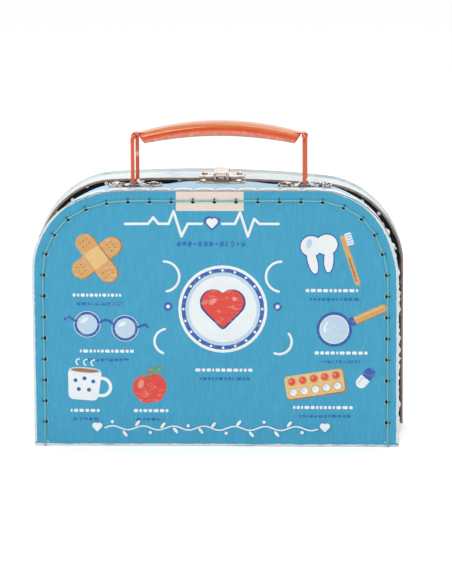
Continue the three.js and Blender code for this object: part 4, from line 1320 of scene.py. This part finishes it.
def make_grip(material):
    """An arched channel of sheet metal, open below, with a tongue curled round the wire at each end."""
    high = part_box("handle_grip")[1]
    left_low, left_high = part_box("handle_link_left")
    eye_z = left_high.z - LINK_WIRE
    middle = (left_low.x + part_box("handle_link_right")[1].x) / 2
    reach = middle - left_low.x - LINK_WIRE
    top_half, crown = reach - GRIP_SETBACK, high.z - eye_z
    bm = bmesh.new()
    grip_line(bm, -1.0, eye_z + crown, eye_z + GRIP_MIDDLE_BOTTOM)
    walk(bm, whole(bm), (2, 0, 0), 60)
    top_sheen, rolled = (bm.verts.layers.float.new(name) for name in ("top_sheen", "rolled"))
    for vert in bm.verts:
        share = vert.co.x
        fall = share * share
        depth = (eye_z + crown - vert.co.z) / (crown - GRIP_MIDDLE_BOTTOM)
        top = crown - (crown - GRIP_END_TOP) * fall
        bottom = GRIP_MIDDLE_BOTTOM - (GRIP_MIDDLE_BOTTOM + GRIP_END_DROP) * fall
        # masks for painted light: a sheen over the top of the section, and a pink reflection along the rolled
        # hems
        vert[top_sheen] = 1 - soft_step(depth, 0.24, 0.36)
        vert[rolled] = soft_step(depth, 0.53 + 0.16 * fall, 0.64 + 0.16 * fall)
        vert.co.y = HANDLE_Y + (vert.co.y - HANDLE_Y) * (1 - GRIP_PINCH * fall ** 4)
        vert.co.z = eye_z + top + (bottom - top) * depth + GRIP_TILT * (vert.co.y - HANDLE_Y)
        vert.co.x = middle + share * (top_half - GRIP_SLANT * clamp(depth))
    curl = LINK_WIRE + EYE_GAP + GRIP_SHEET / 2
    for side in (-1, 1):
        x, z = middle + side * (top_half - TONGUE_ROOT), eye_z + GRIP_END_TOP + 0.6 * MM
        trace(bm, (x, HANDLE_Y - TONGUE_WIDTH / 2, z), ((0, TONGUE_WIDTH, 0), 4))
        strip = [vert for vert in bm.verts if abs(vert.co.x - x) < 1e-7 and abs(vert.co.z - z) < 1e-7]
        edges = [edge for edge in bm.edges if set(edge.verts) <= set(strip)]
        eye = (middle + side * reach, HANDLE_Y, eye_z)
        over = (eye[0] - side * 0.16 * curl - x, 0, eye_z + 0.987 * curl - z)
        trace(bm, strip + edges, (over, 6), (eye, Y_AXIS, side * math.radians(300), 20))
    weld(bm)
    face_out(bm)
    piece = finish_piece("grip_channel", bm, "grip", "red_paint", [material], ["handle_grip"])
    modify(piece, "sheet", "SOLIDIFY", thickness=GRIP_SHEET, offset=0)


def make_rivet(node, body, material):
    """A domed rivet with a turned rim and a shank."""
    low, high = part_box(node)
    centre = Vector(((low.x + high.x) / 2, (low.y + high.y) / 2, 0))
    radius = (high.x - low.x) / 2
    shank, height, rim = 0.42 * radius, 0.62 * radius, 0.16 * radius
    bm = bmesh.new()
    point = trace(
        bm, (centre.x, centre.y, low.z),
        ((shank, 0, 0), 1), ((0, 0, high.z - height - low.z), 1), ((radius - rim - shank, 0, 0), 1),
        ((centre.x + radius - rim, centre.y, high.z - height + rim), Y_AXIS, -0.75 * math.pi, 6),
    )
    edge, rise = point[0].co.x - centre.x, high.z - point[0].co.z
    ball = (edge * edge + rise * rise) / (2 * rise)
    turn(bm, point, (centre.x, centre.y, high.z - ball), Y_AXIS, -math.asin(edge / ball), 7)
    bmesh.ops.spin(bm, geom=whole(bm), cent=centre, axis=Z_AXIS, angle=2 * math.pi, steps=28, use_merge=True)
    weld(bm, 0.02 * MM)
    face_out(bm)
    finish_piece(node + "_head", bm, body, "nickel", [material], [node])


# The case
tray_low, tray_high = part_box("base_board")
wall_low, wall_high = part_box("base_wall")
lid_low, lid_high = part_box("lid_panel")
lid_wall_low, lid_wall_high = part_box("lid_wall")
BOARD = lid_high.y - lid_low.y
OVERHANG = tray_high.x - wall_high.x

tray_panel = Panel(
    Arch(tray_high.x + TRAY_SPREAD, tray_high.z, TRAY_CORNER, FOLD_TOP), tray_low.y, -1, "base"
)
lid_panel = Panel(
    Arch(lid_high.x, lid_high.z, LID_WALL_CORNER + OVERHANG, lid_low.z), lid_high.y, 1, "lid"
)
tray_wall = Arch(wall_high.x + TRAY_SPREAD, wall_high.z, TRAY_CORNER - OVERHANG, wall_low.z)
lid_wall = Arch(lid_wall_high.x, lid_wall_high.z, LID_WALL_CORNER, lid_wall_low.z)

blue_print = make_panel_print(tray_panel.pitch)
raw_board = make_raw_board()
wall_paper = make_wall_paper()
lid_paper = make_lid_paper()
lining = make_lining("dotted navy lining")
tray_lining = make_lining("dotted lining round the tray", tray_panel.pitch)
lid_lining = make_lining("dotted lining round the lid", lid_panel.pitch)
fold_paper = make_fold_paper()
hole_shade = make_hole_shade()
ink = make_ink()
thread = make_thread("teal thread", THREAD_TEAL, THREAD_TEAL_SHADE)
loop_thread = make_thread("dark teal thread", LOOP_TEAL, LOOP_SHADE)
enamel = make_enamel()
clasp_nickel = make_nickel("nickel plate", NICKEL_DULL)
# the brackets' plate gets darker patches mixed in by noise
bracket_nickel = make_nickel("dark patched nickel plate", NICKEL_DARK_PATCH)

make_panel(
    "tray_panel", tray_panel, "blue_board", [blue_print, raw_board, lining, hole_shade], ["base_board"]
)
make_spine([fold_paper, lining, raw_board])
make_wall(
    "tray_wall", tray_wall, wall_low.y, wall_high.y, "base", "pale_board",
    [wall_paper, tray_lining, raw_board], ["base_wall"], WALL_BOARD,
)
make_panel("lid_back", lid_panel, "white_board", [lid_paper, raw_board, lining, hole_shade], ["lid_panel"])
make_wall(
    "lid_wall_board", lid_wall, lid_wall_high.y, lid_wall_low.y, "lid", "white_board",
    [lid_paper, lid_lining, raw_board], ["lid_wall"], LID_WALL_BOARD, LID_RIM_SAG,
)
make_hinge_paper(lid_paper)
print_panel(tray_low.y, ink)
make_seam_thread("tray_thread", tray_panel, thread, ["base_stitching"], TRAY_TAIL)
make_lock_loops("tray_thread_loops", tray_panel, loop_thread)
make_seam_thread("lid_thread", lid_panel, thread, ["lid_stitching"], LID_TAIL)
make_lock_loops("lid_thread_loops", lid_panel, loop_thread)
make_link("left", enamel)
make_link("right", enamel)
make_grip(enamel)

for node_name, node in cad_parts.items():
    nickel = bracket_nickel if "bracket" in node_name else clasp_nickel
    washer = node_name.endswith("_washer")
    if "rivet" in node_name and not washer:
        make_rivet(node_name, "lid" if "lid" in node_name else "base", nickel)
    elif not node.hide_render:
        node.data.materials.clear()
        node.data.materials.append(nickel)
        if not washer:
            ease_edges(node, 0.14 * MM)


# Studio
ROOM_LIGHT = 0.72
FLOOR_LIFT = 0.3  # the camera sees the floor this much lighter
LAMPS = [
    ("key softbox", (-0.9, -1.6, 1.9), (1.4, 1.0), 16),
    ("top softbox", (0.4, 0.2, 1.8), (1.2, 1.2), 8),
]


def ray(nodes, kind):
    return nodes.add("ShaderNodeLightPath", "Is {} Ray".format(kind))


def put_in_scene(name, data):
    thing = bpy.data.objects.new(name, data)
    bpy.context.scene.collection.objects.link(thing)
    return thing


def make_studio():
    """A white floor, a wide soft light above and in front, and a white room whose boards metal mirrors."""
    bm = bmesh.new()
    bmesh.ops.create_grid(bm, x_segments=1, y_segments=1, size=3)
    mesh = bpy.data.meshes.new("floor")
    bm.to_mesh(mesh)
    bm.free()
    put_in_scene("floor", mesh)
    white = Finish(
        "white floor", 0.9, Base_Color=(0.9, 0.9, 0.9, 1), Emission_Color=(1, 1, 1, 1), Specular_IOR_Level=0.0
    )
    mesh.materials.append(white.set(Emission_Strength=ray(white, "Camera") * FLOOR_LIFT))
    world = bpy.data.worlds.new("white room")
    bpy.context.scene.world = world
    world.use_nodes = True
    nodes = Nodes(world.node_tree)
    way = nodes.add("ShaderNodeTexCoord", "Generated")
    _, y, z = nodes.split(way)
    boards = (nodes.noise(3.2, 2, 0.5, way).ramp(0.47, 0.56) * 0.95 + 0.05) * (z.ramp(0.1, 0.7) * 0.7 + 0.3)
    boards = boards.maths("MAXIMUM", y.ramp(0.25, 0.6) * 1.2)
    level = (boards - ROOM_LIGHT) * ray(nodes, "Glossy") + ROOM_LIGHT
    back = world.node_tree.nodes["Background"].inputs
    nodes.put((1, 1, 1, 1), back["Color"])
    nodes.put((1 - level) * ray(nodes, "Camera") + level, back["Strength"])
    for name, place, size, power in LAMPS:
        lamp = bpy.data.lights.new(name, "AREA")
        lamp.shape = "RECTANGLE"
        lamp.size, lamp.size_y = size
        lamp.energy = power
        holder = put_in_scene(name, lamp)
        holder.location = place
        holder.rotation_euler = (Vector((0, 0, 0.1)) - Vector(place)).to_track_quat("-Z", "Y").to_euler()


make_studio()

# Camera, at the photograph's view
PHOTO_HEIGHT = 584
FOCAL_PIXELS = 3512.8
SENSOR = 36  # mm, on the long side
DISTANCE = 2.8
YAW, PITCH, ROLL = math.radians(2.6), math.radians(11.35), math.radians(-0.39)
TARGET = Vector((6.55 * MM, 0, 115.65 * MM))


def make_camera():
    forward = Vector((-math.sin(YAW) * math.cos(PITCH), math.cos(YAW) * math.cos(PITCH), -math.sin(PITCH)))
    level = Vector((math.cos(YAW), math.sin(YAW), 0))
    right = math.cos(ROLL) * level + math.sin(ROLL) * level.cross(forward)
    axes = Matrix((right, right.cross(forward), -forward)).transposed().to_4x4()
    lens = bpy.data.cameras.new("camera")
    lens.sensor_width = SENSOR
    lens.lens = FOCAL_PIXELS / PHOTO_HEIGHT * SENSOR
    lens.clip_start, lens.clip_end = 0.05, 20
    camera = put_in_scene("camera", lens)
    camera.matrix_world = Matrix.Translation(TARGET - DISTANCE * forward) @ axes
    bpy.context.scene.camera = camera


make_camera()
bpy.context.scene.view_settings.view_transform = "Standard"
